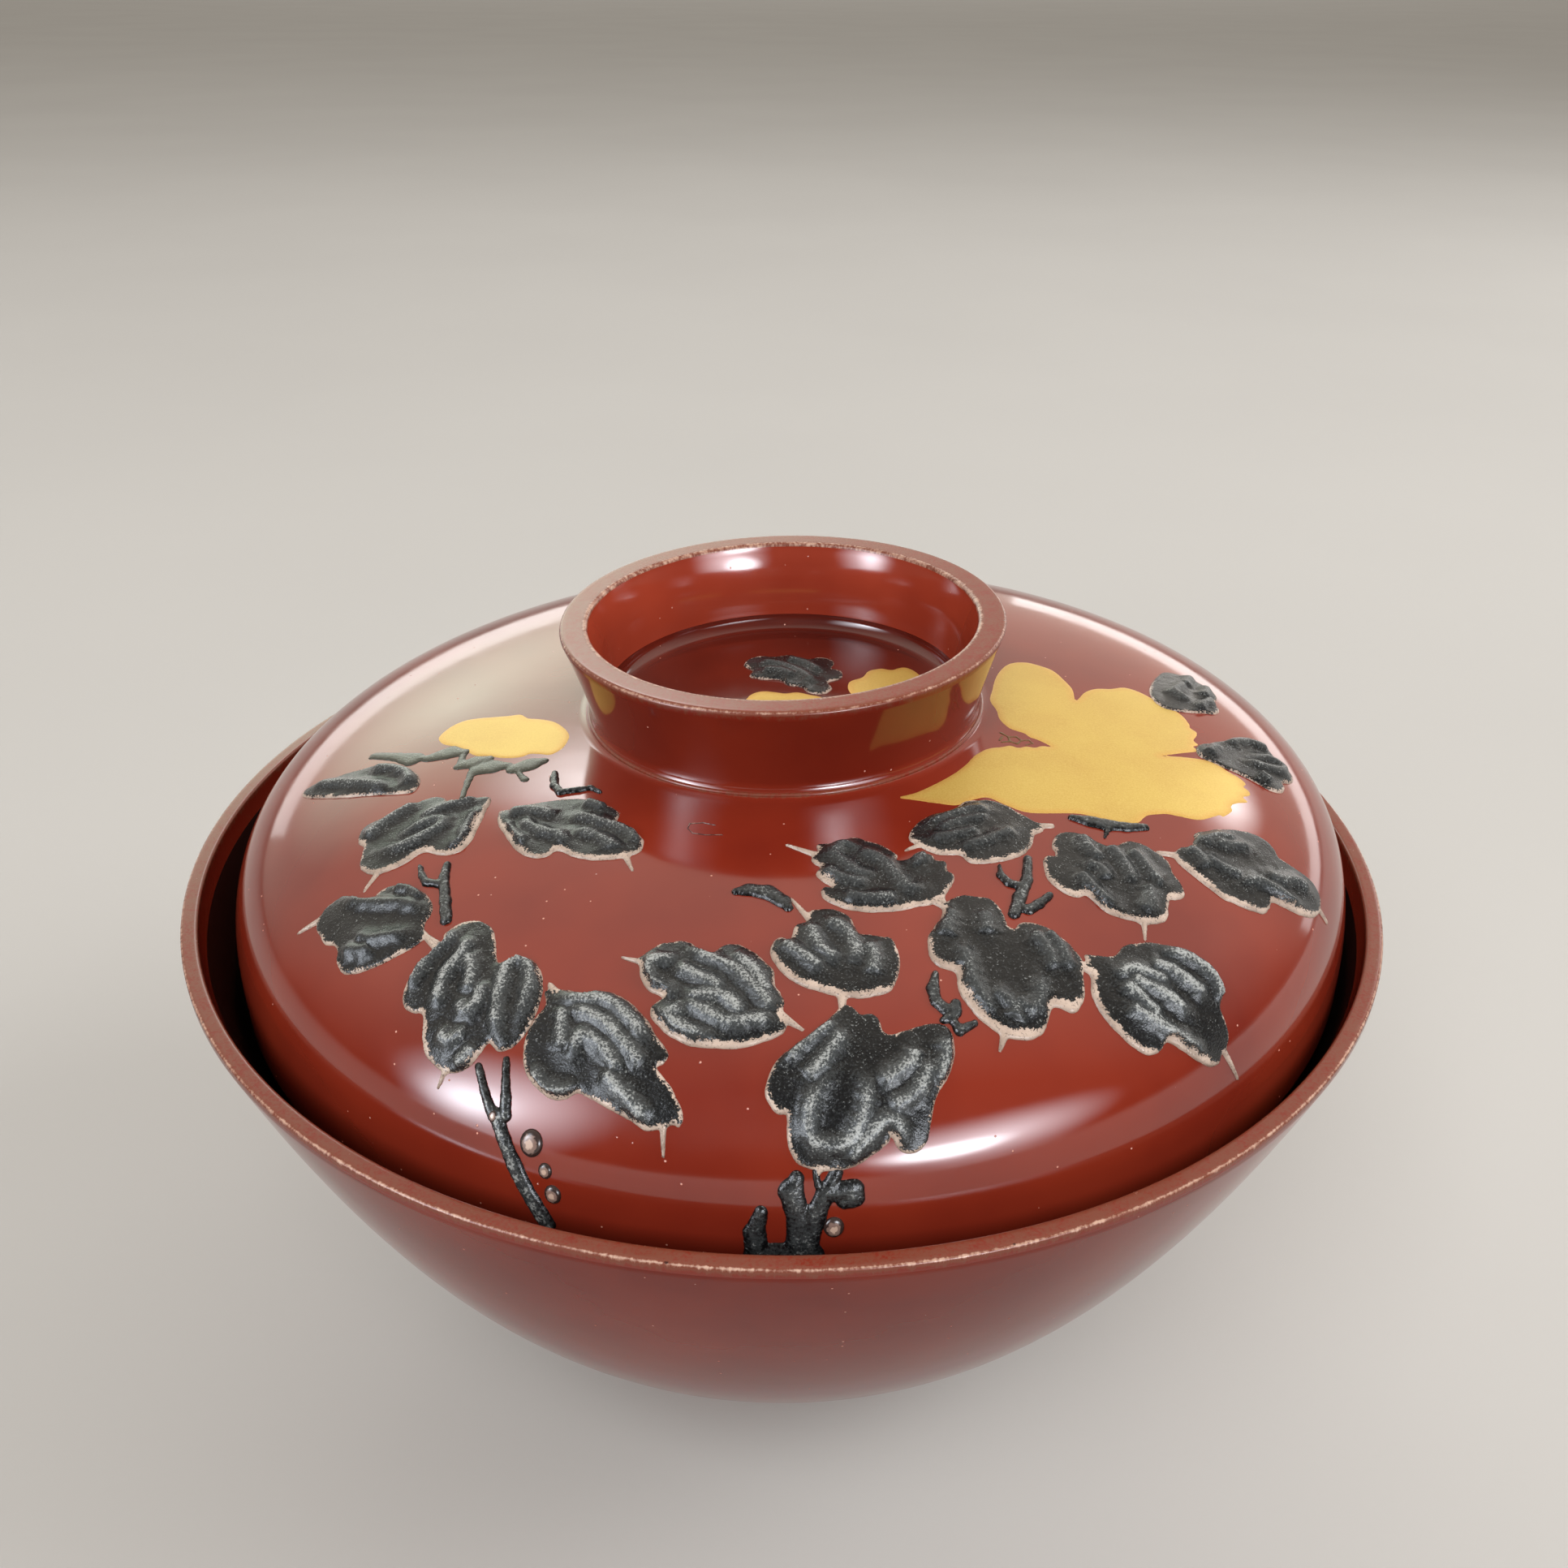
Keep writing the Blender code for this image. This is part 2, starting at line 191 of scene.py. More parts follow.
@dataclass(frozen=True)
class RedLacquer(Finish):
    """Urushi lacquer, many thin coats, polished.  It gives the eye a deep warm colour under a
    clear wet gloss, with faint clouds in the colour and a few dust specks.  Its index starts
    from lacquer's usual 1.54 and is then matched to the object, as in the finishes below.
    """

    colour: str = "#6e2314"
    deep: str = "#601b10"
    dust: str = "#b8806e"
    roughness: float = 0.1
    index: float = 1.6
    cloud_mm: float = 16.0
    haze_mm: float = 3.5
    ripple_mm: float = 5.0
    speck_mm: float = 0.11
    speck_spacing_mm: float = 1.3
    speck_share: float = 0.16
    relief_mm: float = 0.012

    def coat(self, tree: Tree, where: Socket) -> Inputs:
        """Clouded colour, uneven gloss, and a faint ripple that the specks stand out of."""
        clouds = add_node(tree, Node.NOISE, where, scale(self.cloud_mm), 3.0)
        clouds = add_node(tree, Node.RANGE, clouds, 0.35, 0.68)
        colour = add_node(tree, Node.BLEND, clouds, linear(self.colour), linear(self.deep))
        dust = specks(tree, where, self.speck_spacing_mm, self.speck_mm, self.speck_share)
        haze = add_node(tree, Node.NOISE, where, scale(self.haze_mm), 5.0, 0.6)
        low, high = self.roughness * 0.85, self.roughness * 1.3
        haze = add_node(tree, Node.RANGE, haze, 0.35, 0.75, low, high)
        matt = add_node(tree, Node.TIMES, dust, 0.5)
        ripple = add_node(tree, Node.NOISE, where, scale(self.ripple_mm), 1.5)
        height = add_node(tree, Node.SUM, ripple, add_node(tree, Node.TIMES, dust, 2.2))
        return {
            "Base Color": add_node(tree, Node.BLEND, dust, colour, linear(self.dust)),
            "Roughness": add_node(tree, Node.LARGER, haze, matt),
            "Normal": add_node(tree, Node.RELIEF, height, self.relief_mm * MM),
            "IOR": self.index,
        }


@dataclass(frozen=True)
class RubbedAndHighlitLacquer(Finish):
    """The same lacquer abraded through along an edge by handling.  It gives the eye a brown band,
    a broken pale line with short scratches below it, and small dark nicks.  The pale line is
    partly the abraded edge and partly a painted highlight along the rounded corners.
    """

    colour: str = "#6a2013"
    brown: str = "#663425"
    # Pale of the abraded edge, used also as a painted highlight along the corners.
    pale: str = "#a98876"
    nick: str = "#33150f"
    roughness: float = 0.14
    index: float = 1.44
    scratch_mm: float = 0.3
    scratch_squeeze: float = 0.16
    break_mm: float = 1.6
    nick_mm: float = 0.2
    nick_spacing_mm: float = 1.5
    nick_share: float = 0.3
    relief_mm: float = 0.03

    def coat(self, tree: Tree, where: Socket) -> Inputs:
        """Red where it is least abraded, then brown, then pale where the abrasion and the painted
        corner highlight are greatest, with the nicks cut in.
        """
        wear_and_highlight = add_node(tree, Node.MARK, attribute_name="wear_and_highlight")
        upright = add_node(tree, Node.STRETCH, where, (1.0, 1.0, self.scratch_squeeze))
        scratches = add_node(tree, Node.NOISE, upright, scale(self.scratch_mm), 3.0, 0.6)
        uneven = add_node(tree, Node.RANGE, scratches, 0.3, 0.7, -0.24, 0.24)
        worn_and_highlit = add_node(tree, Node.SUM, wear_and_highlight, uneven)
        broken = add_node(tree, Node.NOISE, where, scale(self.break_mm), 5.0, 0.65)
        broken = add_node(tree, Node.RANGE, broken, 0.3, 0.7, -0.2, 0.2)
        worn_and_highlit = add_node(tree, Node.SUM, worn_and_highlit, broken)
        nicks = specks(tree, where, self.nick_spacing_mm, self.nick_mm, self.nick_share)
        nicks = add_node(tree, Node.TIMES, nicks, add_node(tree, Node.RANGE, wear_and_highlight, 0.45, 0.8))
        brown = add_node(tree, Node.RANGE, worn_and_highlit, 0.15, 0.5)
        colour = add_node(tree, Node.BLEND, brown, linear(self.colour), linear(self.brown))
        # Painted highlight: the pale line also stands for the gloss along the rounded corners, on
        # top of the abraded edge.
        pale = add_node(tree, Node.RANGE, worn_and_highlit, 0.84, 1.2)
        colour = add_node(tree, Node.BLEND, pale, colour, linear(self.pale))
        rough = (self.roughness, self.roughness * 2.2)
        height = add_node(tree, Node.LESS, add_node(tree, Node.TIMES, scratches, 0.3), nicks)
        return {
            "Base Color": add_node(tree, Node.BLEND, nicks, colour, linear(self.nick)),
            "Roughness": add_node(tree, Node.RANGE, worn_and_highlit, 0.0, 1.0, *rough),
            "Normal": add_node(tree, Node.RELIEF, height, self.relief_mm * MM),
            "IOR": self.index,
        }


@dataclass(frozen=True)
class BlackLacquer(Finish):
    """Smooth black lacquer of the inside, brushed on: near black with a soft gloss."""

    colour: str = "#0d0a09"
    cloud: str = "#1a1210"
    roughness: float = 0.16
    index: float = 1.54
    cloud_mm: float = 9.0
    ripple_mm: float = 3.0
    relief_mm: float = 0.01

    def coat(self, tree: Tree, where: Socket) -> Inputs:
        """Clouded black with a gloss that follows the clouds."""
        clouds = add_node(tree, Node.NOISE, where, scale(self.cloud_mm), 4.0)
        rough = (self.roughness * 0.8, self.roughness * 1.5)
        ripple = add_node(tree, Node.NOISE, where, scale(self.ripple_mm), 2.0)
        return {
            "Base Color": add_node(
                tree, Node.BLEND, clouds, linear(self.colour), linear(self.cloud)
            ),
            "Roughness": add_node(tree, Node.RANGE, clouds, 0.3, 0.7, *rough),
            "Normal": add_node(tree, Node.RELIEF, ripple, self.relief_mm * MM),
            "IOR": self.index,
        }


@dataclass(frozen=True)
class GoldPowder(Finish):
    """Gold powder sprinkled on wet lacquer and burnished.  It gives the eye a warm satin
    yellow, a little browner at its edge, with a very fine grain.  The lacquer between the
    grains keeps it well short of solid metal.
    """

    colour: str = "#bb9d4b"
    cloud: str = "#b29042"
    edge: str = "#b8863a"
    fleck: str = "#dcc27a"
    metal: float = 0.45
    cloud_mm: float = 8.0
    edge_mm: float = 0.9
    grain_mm: float = 0.16
    relief_mm: float = 0.008

    def coat(self, tree: Tree, where: Socket) -> Inputs:
        """Clouded gold, browner along its edge, under the fine grain."""
        clouds = add_node(tree, Node.NOISE, where, scale(self.cloud_mm), 3.0)
        clouds = add_node(tree, Node.RANGE, clouds, 0.3, 0.7)
        colour = add_node(tree, Node.BLEND, clouds, linear(self.colour), linear(self.cloud))
        depth = add_node(tree, Node.MARK, attribute_name="depth")
        rim = add_node(tree, Node.RANGE, depth, self.edge_mm * MM, 0.0)
        rim = add_node(tree, Node.TIMES, rim, 0.7)
        colour = add_node(tree, Node.BLEND, rim, colour, linear(self.edge))
        grain = add_node(tree, Node.NOISE, where, scale(self.grain_mm), 2.0)
        flecks = add_node(tree, Node.RANGE, grain, 0.35, 0.7, 0.0, 0.3)
        return {
            "Base Color": add_node(tree, Node.BLEND, flecks, colour, linear(self.fleck)),
            "Roughness": add_node(tree, Node.RANGE, grain, 0.3, 0.7, 0.34, 0.5),
            "Normal": add_node(tree, Node.RELIEF, grain, self.relief_mm * MM),
            "Metallic": self.metal,
        }


@dataclass(frozen=True)
class RaisedLeafLacquer(Finish):
    """Black lacquer built up over a tan ground and wrinkled as it dried.  It gives the eye a
    charcoal leaf and a tan border where the black ends.  Painted light is mixed into its colour:
    the black turns greyer towards the ridge crests as a painted relief highlight, and silvery
    flecks on the crests are painted glints.
    """

    black: str = "#0b0b0c"
    grain_and_highlight_grey: str = "#3c3f40"
    glint_silver: str = "#8d8f8d"
    tan: str = "#a9978a"
    tan_shade: str = "#8a796d"
    tan_grain: str = "#3b2f29"
    grain_mm: float = 0.2
    blotch_mm: float = 1.7
    rub_and_highlight: float = 1.0
    gloss: float = 0.2
    index: float = 1.45
    relief_mm: float = 0.055

    def coat(self, tree: Tree, where: Socket) -> Inputs:
        """Black turning greyer towards the crests as painted relief highlight, with silvery flecks
        there as painted glints, over the bare ground, by the marks on the piece.
        """
        grain = add_node(tree, Node.NOISE, where, scale(self.grain_mm), 3.0, 0.6)
        blotch = add_node(tree, Node.NOISE, where, scale(self.blotch_mm), 3.0)
        ridge = add_node(tree, Node.MARK, attribute_name="ridge")
        # Painted light: the ridge mark sets where the crests are painted greyer and flecked,
        # standing for their highlight and glints.
        crest = add_node(tree, Node.POWER, ridge, 3.0)
        rubbed_and_highlit = add_node(tree, Node.TIMES, crest, 0.26 * self.rub_and_highlight)
        uneven = add_node(tree, Node.RANGE, blotch, 0.3, 0.7, -0.07, 0.07)
        rubbed_and_highlit = add_node(tree, Node.SUM, add_node(tree, Node.SUM, rubbed_and_highlit, uneven), grain)
        flecks = add_node(tree, Node.RANGE, rubbed_and_highlit, 0.64, 0.88)
        speckle = add_node(tree, Node.RANGE, grain, 0.35, 0.65, -0.3, 0.3)
        # Painted highlight: the tone rises towards the crests; the grain's speckle varies it as
        # the lacquer's own texture.
        tone = add_node(tree, Node.SUM, ridge, speckle)
        tone = add_node(tree, Node.RANGE, tone, 0.0, 1.1)
        coated = add_node(tree, Node.BLEND, tone, linear(self.black), linear(self.grain_and_highlight_grey))
        # Painted glints: silvery flecks where the crests are highest.
        coated = add_node(tree, Node.BLEND, flecks, coated, linear(self.glint_silver))
        cover = add_node(tree, Node.MARK, attribute_name="cover")
        for pattern, reach in ((grain, 0.24 * MM), (blotch, 0.16 * MM)):
            ragged = add_node(tree, Node.RANGE, pattern, 0.3, 0.7, -reach, reach)
            cover = add_node(tree, Node.SUM, cover, ragged)
        covered = add_node(tree, Node.RANGE, cover, -0.02 * MM, 0.04 * MM)
        shade = add_node(tree, Node.RANGE, blotch, 0.35, 0.65)
        bare = add_node(tree, Node.BLEND, shade, linear(self.tan), linear(self.tan_shade))
        dots = add_node(tree, Node.RANGE, grain, 0.58, 0.64, 0.0, 0.55)
        bare = add_node(tree, Node.BLEND, dots, bare, linear(self.tan_grain))
        height = add_node(tree, Node.SUM, grain, add_node(tree, Node.TIMES, covered, 1.4))
        return {
            "Base Color": add_node(tree, Node.BLEND, covered, bare, coated),
            "Roughness": add_node(tree, Node.RANGE, flecks, 0.0, 1.0, self.gloss, self.gloss * 2),
            "Normal": add_node(tree, Node.RELIEF, height, self.relief_mm * MM),
            "IOR": self.index,
        }


@dataclass(frozen=True)
class DropLacquer(Finish):
    """A bead of lacquer, dark at its foot, greyish on its flank and pale tan at its crown."""

    foot: str = "#2c201d"
    flank: str = "#6f5a52"
    crown: str = "#a78f80"
    grain_mm: float = 0.3

    def coat(self, tree: Tree, where: Socket) -> Inputs:
        """Three colours one above the other, with ragged borders."""
        grain = add_node(tree, Node.NOISE, where, scale(self.grain_mm), 3.0)
        ragged = add_node(tree, Node.RANGE, grain, 0.3, 0.7, -0.1, 0.1)
        ridge = add_node(tree, Node.MARK, attribute_name="ridge")
        rise = add_node(tree, Node.SUM, ridge, ragged)
        flank = add_node(tree, Node.RANGE, rise, 0.3, 0.42)
        colour = add_node(tree, Node.BLEND, flank, linear(self.foot), linear(self.flank))
        crown = add_node(tree, Node.RANGE, rise, 0.62, 0.72)
        colour = add_node(tree, Node.BLEND, crown, colour, linear(self.crown))
        return {"Base Color": colour, "Roughness": 0.22, "IOR": 1.52}


@dataclass(frozen=True)
class StudioFloor(Finish):
    """Plain pale painted board, matt, so that the bowl alone takes the eye."""

    name: str = "pale_floor"
    colour: str = "#a5a3a0"
    cloud: str = "#9f9d9a"
    cloud_mm: float = 180.0

    def coat(self, tree: Tree, where: Socket) -> Inputs:
        """Faintly clouded paint with no gloss."""
        tone = add_node(tree, Node.NOISE, where, scale(self.cloud_mm), 3.0)
        colour = add_node(tree, Node.BLEND, tone, linear(self.colour), linear(self.cloud))
        return {"Base Color": colour, "Roughness": 0.9, "Specular IOR Level": 0.0}


def once(finish: Finish) -> Material:
    """A dataclass field that holds a finish's material, made with the dataclass."""
    return field(default_factory=finish.make)


@dataclass
class Finishes:
    """All finishes of the bowl and lid, each made once.

    The bowl's outside mirrors a pale floor, so its index is lower than the lid's.
    """

    outside: Material = once(RedLacquer("red_brown_bowl_lacquer", index=1.22))
    lid: Material = once(RedLacquer("red_brown_lid_lacquer"))
    # Painted shade: the floor inside the ring handle takes the lid's lacquer made darker, for the
    # shade in that hollow.
    floor: Material = once(RedLacquer("ring_floor_lacquer_painted_shade", "#521910", "#40120c"))
    # Painted light: the ring's inner wall takes the lid's lacquer made brighter, for the light
    # falling on it from the front.
    wall: Material = once(RedLacquer("ring_wall_lacquer_painted_lit", "#8a3523", "#7a2b1c"))
    # Abraded edges, with a painted highlight along their rounded corners.
    rubbed_and_highlit: Material = once(RubbedAndHighlitLacquer("edge_lacquer_worn_and_highlit"))
    black: Material = once(BlackLacquer("black_inside_lacquer"))
    gold: Material = once(GoldPowder("gold_powder"))
    leaf: Material = once(RaisedLeafLacquer("raised_leaf_lacquer"))
    stroke: Material = once(
        RaisedLeafLacquer("raised_twig_lacquer", grain_mm=0.24, rub_and_highlight=1.3, gloss=0.14)
    )
    dull_gold: Material = once(
        GoldPowder("dull_gold_lines", "#6c4c28", "#634424", "#573a1f", "#7f6238")
    )
    faded: Material = once(
        RaisedLeafLacquer("faded_twig_lacquer", "#34342c", "#47473d", "#77776b", rub_and_highlight=0.6)
    )
    drop: Material = once(DropLacquer("raised_drop_lacquer"))


def new_piece(
    name: str,
    points: Array,
    faces: Sequence[Sequence[int]],
    materials: Sequence[Material],
    marks: dict[str, Array],
    crease: float,
) -> Piece:
    """Makes a smooth-shaded piece that rides on the object's one body.

    Args:
        name: Name of the piece.
        points: Its points, in metres.
        faces: Its faces, as numbers of points.
        materials: Its materials; faces take the first.
        marks: Values to store on its points, by name.
        crease: Angle in degrees above which an edge stays sharp.

    Returns:
        The new object.
    """
    mesh = bpy.data.meshes.new(name)
    mesh.from_pydata(points.tolist(), [], faces)
    maker = bmesh.new()
    maker.from_mesh(mesh)
    bmesh.ops.recalc_face_normals(maker, faces=maker.faces)
    maker.to_mesh(mesh)
    maker.free()
    for mark, values in marks.items():
        store = mesh.attributes.new(mark, "FLOAT", "POINT").data
        store.foreach_set("value", np.asarray(values, np.float32))
    mesh.shade_smooth()
    mesh.set_sharp_from_angle(angle=radians(crease))
    for material in materials:
        mesh.materials.append(material)
    piece = bpy.data.objects.new(name, mesh)
    bpy.context.scene.collection.objects.link(piece)
    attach(piece, BODY)
    return piece


def arc(centre: Point, radius: float, start: float, end: float, count: int) -> list[Point]:
    """Points of an arc in the profile plane, angles in degrees from outward towards up."""
    angles = np.radians(np.linspace(start, end, count))
    return [(centre[0] + radius * cos(a), centre[1] + radius * sin(a)) for a in angles]


def evenly(curve: Array, spacing: float) -> list[Point]:
    """Picks points evenly along a finely drawn curve.

    Args:
        curve: Points of the curve, radius and level.
        spacing: Distance wanted between the picked points.

    Returns:
        The picked points, with both ends.
    """
    run = np.concatenate([[0], np.cumsum(np.hypot(*np.diff(curve, axis=0).T))])
    marks = np.linspace(0, run[-1], max(2, round(run[-1] / spacing) + 1))
    return list(zip(np.interp(marks, run, curve[:, 0]), np.interp(marks, run, curve[:, 1])))


def turned(profile: Profile, sides: int) -> tuple[Array, list, Array, list[int]]:
    """Turns a profile that starts and ends on the axis into a closed surface.

    Args:
        profile: Radius, level, abrasion with painted edge highlight, and finish number of each
            point.
        sides: Number of sides of the turned surface.

    Returns:
        Points, faces, abrasion with painted edge highlight of each point, and finish of each face.
    """
    turns = np.arange(sides) * 2 * pi / sides
    points, wear_and_highlight, starts = [], [], []
    for radius, level, worn_and_highlit, _ in profile:
        starts.append(len(points))
        if radius < ON_AXIS:
            points.append((0.0, 0.0, level))
            wear_and_highlight.append(worn_and_highlit)
        else:
            points.extend(zip(radius * np.cos(turns), radius * np.sin(turns), [level] * sides))
            wear_and_highlight.extend([worn_and_highlit] * sides)
    faces, finishes = [], []
    for k in range(len(profile) - 1):
        low, high = starts[k], starts[k + 1]
        for i in range(sides):
            j = (i + 1) % sides
            if profile[k][0] < ON_AXIS:
                faces.append((low, high + j, high + i))
            elif profile[k + 1][0] < ON_AXIS:
                faces.append((low + i, low + j, high))
            else:
                faces.append((low + i, low + j, high + j, high + i))
            finishes.append(profile[k][3])
    return np.array(points), faces, np.array(wear_and_highlight), finishes


def turned_piece(
    name: str,
    profile: Profile,
    sides: int,
    place: Callable[[Array], Array],
    materials: Sequence[Material],
) -> Piece:
    """Makes a turned piece and gives each band of its profile its finish.

    Args:
        name: Name of the piece.
        profile: Radius, level, abrasion with painted edge highlight, and finish number of each
            point of its section.
        sides: Number of sides of the turned surface.
        place: Takes its points to where it stands.
        materials: Its materials, in the order of the finish numbers.

    Returns:
        The new object.
    """
    points, faces, wear_and_highlight, finishes = turned(profile, sides)
    marks = {"wear_and_highlight": wear_and_highlight}
    piece = new_piece(name, place(points), faces, materials, marks, TURNED_CREASE)
    piece.data.polygons.foreach_set("material_index", finishes)
    return piece


class BowlFinish(Enum):
    """Bands of the bowl's profile, in the order of its materials."""

    OUTSIDE = 0
    LIP = 1
    INSIDE = 2


@dataclass
class Bowl:
    """The bowl: a full body on a low foot ring, with a rounded lip."""

    rim_radius: float = 0.0645
    lip_width: float = 0.0017
    lip_rise: float = 0.0009
    lip_corner: float = 0.00032
    body_depth: float = 0.0551
    fullness: float = 3.56
    floor_thickness: float = 0.0030
    foot_radius: float = 0.0295
    foot_spread: float = 0.0009
    foot_height: float = 0.0075
    foot_wall: float = 0.0032
    foot_hollow: float = 0.0058
    foot_round: float = 0.0005
    foot_wear: float = 0.7
    # Abrasion round the lip's outer corner; its peak also lays a painted highlight along the
    # corner.
    corner_wear_and_highlight: Sequence[float] = (0.62, 0.76, 0.95, 1.06, 0.8, 0.45)
    top_wear: float = 0.44
    inner_wear: float = 0.5
    sides: int = 256
    spacing: float = 0.0009
    inside_spacing: float = 0.00144
    fine: int = 400

    @property
    def foot_top(self) -> float:
        """Radius of the foot ring where it meets the body."""
        return self.foot_radius + self.foot_spread

    @property
    def base(self) -> float:
        """Lowest level of the body's curve."""
        share = self.foot_top / self.rim_radius
        return self.foot_height - self.body_depth * share**self.fullness

    @property
    def lip_level(self) -> float:
        """Level of the lip's widest line."""
        return self.base + self.body_depth

    @property
    def top(self) -> float:
        """Highest level of the lip."""
        return self.lip_level + self.lip_rise

    @property
    def well_level(self) -> float:
        """Level of the bottom of the well."""
        return self.foot_hollow + self.floor_thickness

    def outside_curve(self) -> list[Point]:
        """Outer curve of the body.

        Returns:
            Radius and level of points from the foot ring to the lip.
        """
        radius = np.linspace(self.foot_top, self.rim_radius, self.fine)
        level = self.base + self.body_depth * (radius / self.rim_radius) ** self.fullness
        return evenly(np.stack([radius, level], -1), self.spacing)

    def inside_curve(self) -> list[Point]:
        """Inner curve of the body.

        Returns:
            Radius and level of points from the lip to the middle of the well.
        """
        edge = self.rim_radius - self.lip_width
        radius = np.linspace(edge, 0, self.fine)
        depth = self.lip_level - self.well_level
        level = self.well_level + depth * (radius / edge) ** self.fullness
        return evenly(np.stack([radius, level], -1), self.inside_spacing)

    def lip(self) -> list[tuple[float, float, float]]:
        """Outline of the flat lip, most abraded along its outer corner, where a painted highlight
        is laid too.

        Returns:
            Radius, level, and abrasion with painted highlight of its points, from outside to
            inside.
        """
        corner, top = self.lip_corner, self.top
        inner = self.rim_radius - self.lip_width
        rise = self.lip_rise - corner
        rows = [(self.rim_radius, self.lip_level + k * rise, 0.55 * k) for k in (0, 0.5)]
        outer = arc((self.rim_radius - corner, top - corner), corner, 0, 90, 6)
        rows += [(r, z, worn_and_highlit) for (r, z), worn_and_highlit in zip(outer, self.corner_wear_and_highlight)]
        flat = np.linspace(self.rim_radius - corner, inner + corner, 6)[1:-1]
        rows += [(r, top, self.top_wear) for r in flat]
        inward = arc((inner + corner, top - corner), corner, 90, 180, 5)
        rows += [(r, z, self.inner_wear) for r, z in inward]
        return [*rows, (inner, self.lip_level, 0.0)]

    def profile(self) -> Profile:
        """Outline of the bowl's section.

        Returns:
            Its points from under the foot, round the outside and the lip, to the well.
        """
        out, lip, inner = (band.value for band in BowlFinish)
        inside_radius = self.foot_radius - self.foot_wall
        curl, hollow = self.foot_round, self.foot_hollow
        points: Profile = [(0.0, hollow, 0.0, inner), (inside_radius * 0.9, hollow, 0.0, inner)]
        points.append((inside_radius, hollow * 0.85, 0.0, inner))
        corners = arc((inside_radius + curl, curl), curl, 180, 270, 5)
        corners += arc((self.foot_radius - curl, curl), curl, 270, 360, 5)
        points += [(r, z, self.foot_wear, lip) for r, z in corners]
        for share in np.arange(1, 6) / 6:
            radius = self.foot_radius + self.foot_spread * share**2
            points.append((radius, self.foot_height * (0.08 + 0.92 * share), 0.0, out))
        points += [(r, z, 0.0, out) for r, z in self.outside_curve()[:-1]]
        points += [(r, z, worn_and_highlit, lip) for r, z, worn_and_highlit in self.lip()]
        points += [(r, z, 0.0, inner) for r, z in self.inside_curve()[1:-1]]
        points.append((0.0, self.well_level, 0.0, inner))
        return points

    def build(self, finishes: Finishes) -> Piece:
        """Makes the bowl and stands it in for its solid.

        Args:
            finishes: All finishes.

        Returns:
            The new object.
        """
        materials = [finishes.outside, finishes.rubbed_and_highlit, finishes.black]
        piece = turned_piece(
            "bowl_turning", self.profile(), self.sides, lambda p: p, materials
        )
        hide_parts("bowl")
        return piece


@dataclass
class Dome:
    """The lid's dome: a squared ellipse turned round the lid's axis."""

    radius: float = 0.0602
    rise: float = 0.0231
    squareness: float = 3.5
    fine: int = 4000

    def curve(self) -> Array:
        """The dome's section, finely drawn.

        Returns:
            Radius and level of points from its crown to its edge.
        """
        turn = (1 - np.cos(np.linspace(0, pi, self.fine))) * pi / 4
        power = 2 / self.squareness
        radius = self.radius * np.sin(turn) ** power
        level = self.rise * np.clip(np.cos(turn), 0, 1) ** power
        level[-1] = 0.0
        return np.stack([radius, level], -1)

    def level(self, radius: float) -> float:
        """Height of the dome above the lid's edge."""
        power = self.squareness
        return self.rise * (1 - (radius / self.radius) ** power) ** (1 / power)


@dataclass
class Seating:
    """Where the lid's own frame sits: pushed a little to one side and tilted."""

    shift: float = 0.0008
    tilt: float = radians(1.7)
    seat: float = 0.0528334

    def place(self, points: Array) -> Array:
        """Takes points from the lid's own frame to the bowl's."""
        turn = np.array(Matrix.Rotation(-self.tilt, 3, "Y"))
        return points @ turn.T + np.array([self.shift, 0.0, self.seat])


class LidFinish(Enum):
    """Bands of the lid's profile, in the order of its materials."""

    OUTSIDE = 0
    EDGE = 1
    INSIDE = 2
    RING_FLOOR = 3
    RING_WALL = 4


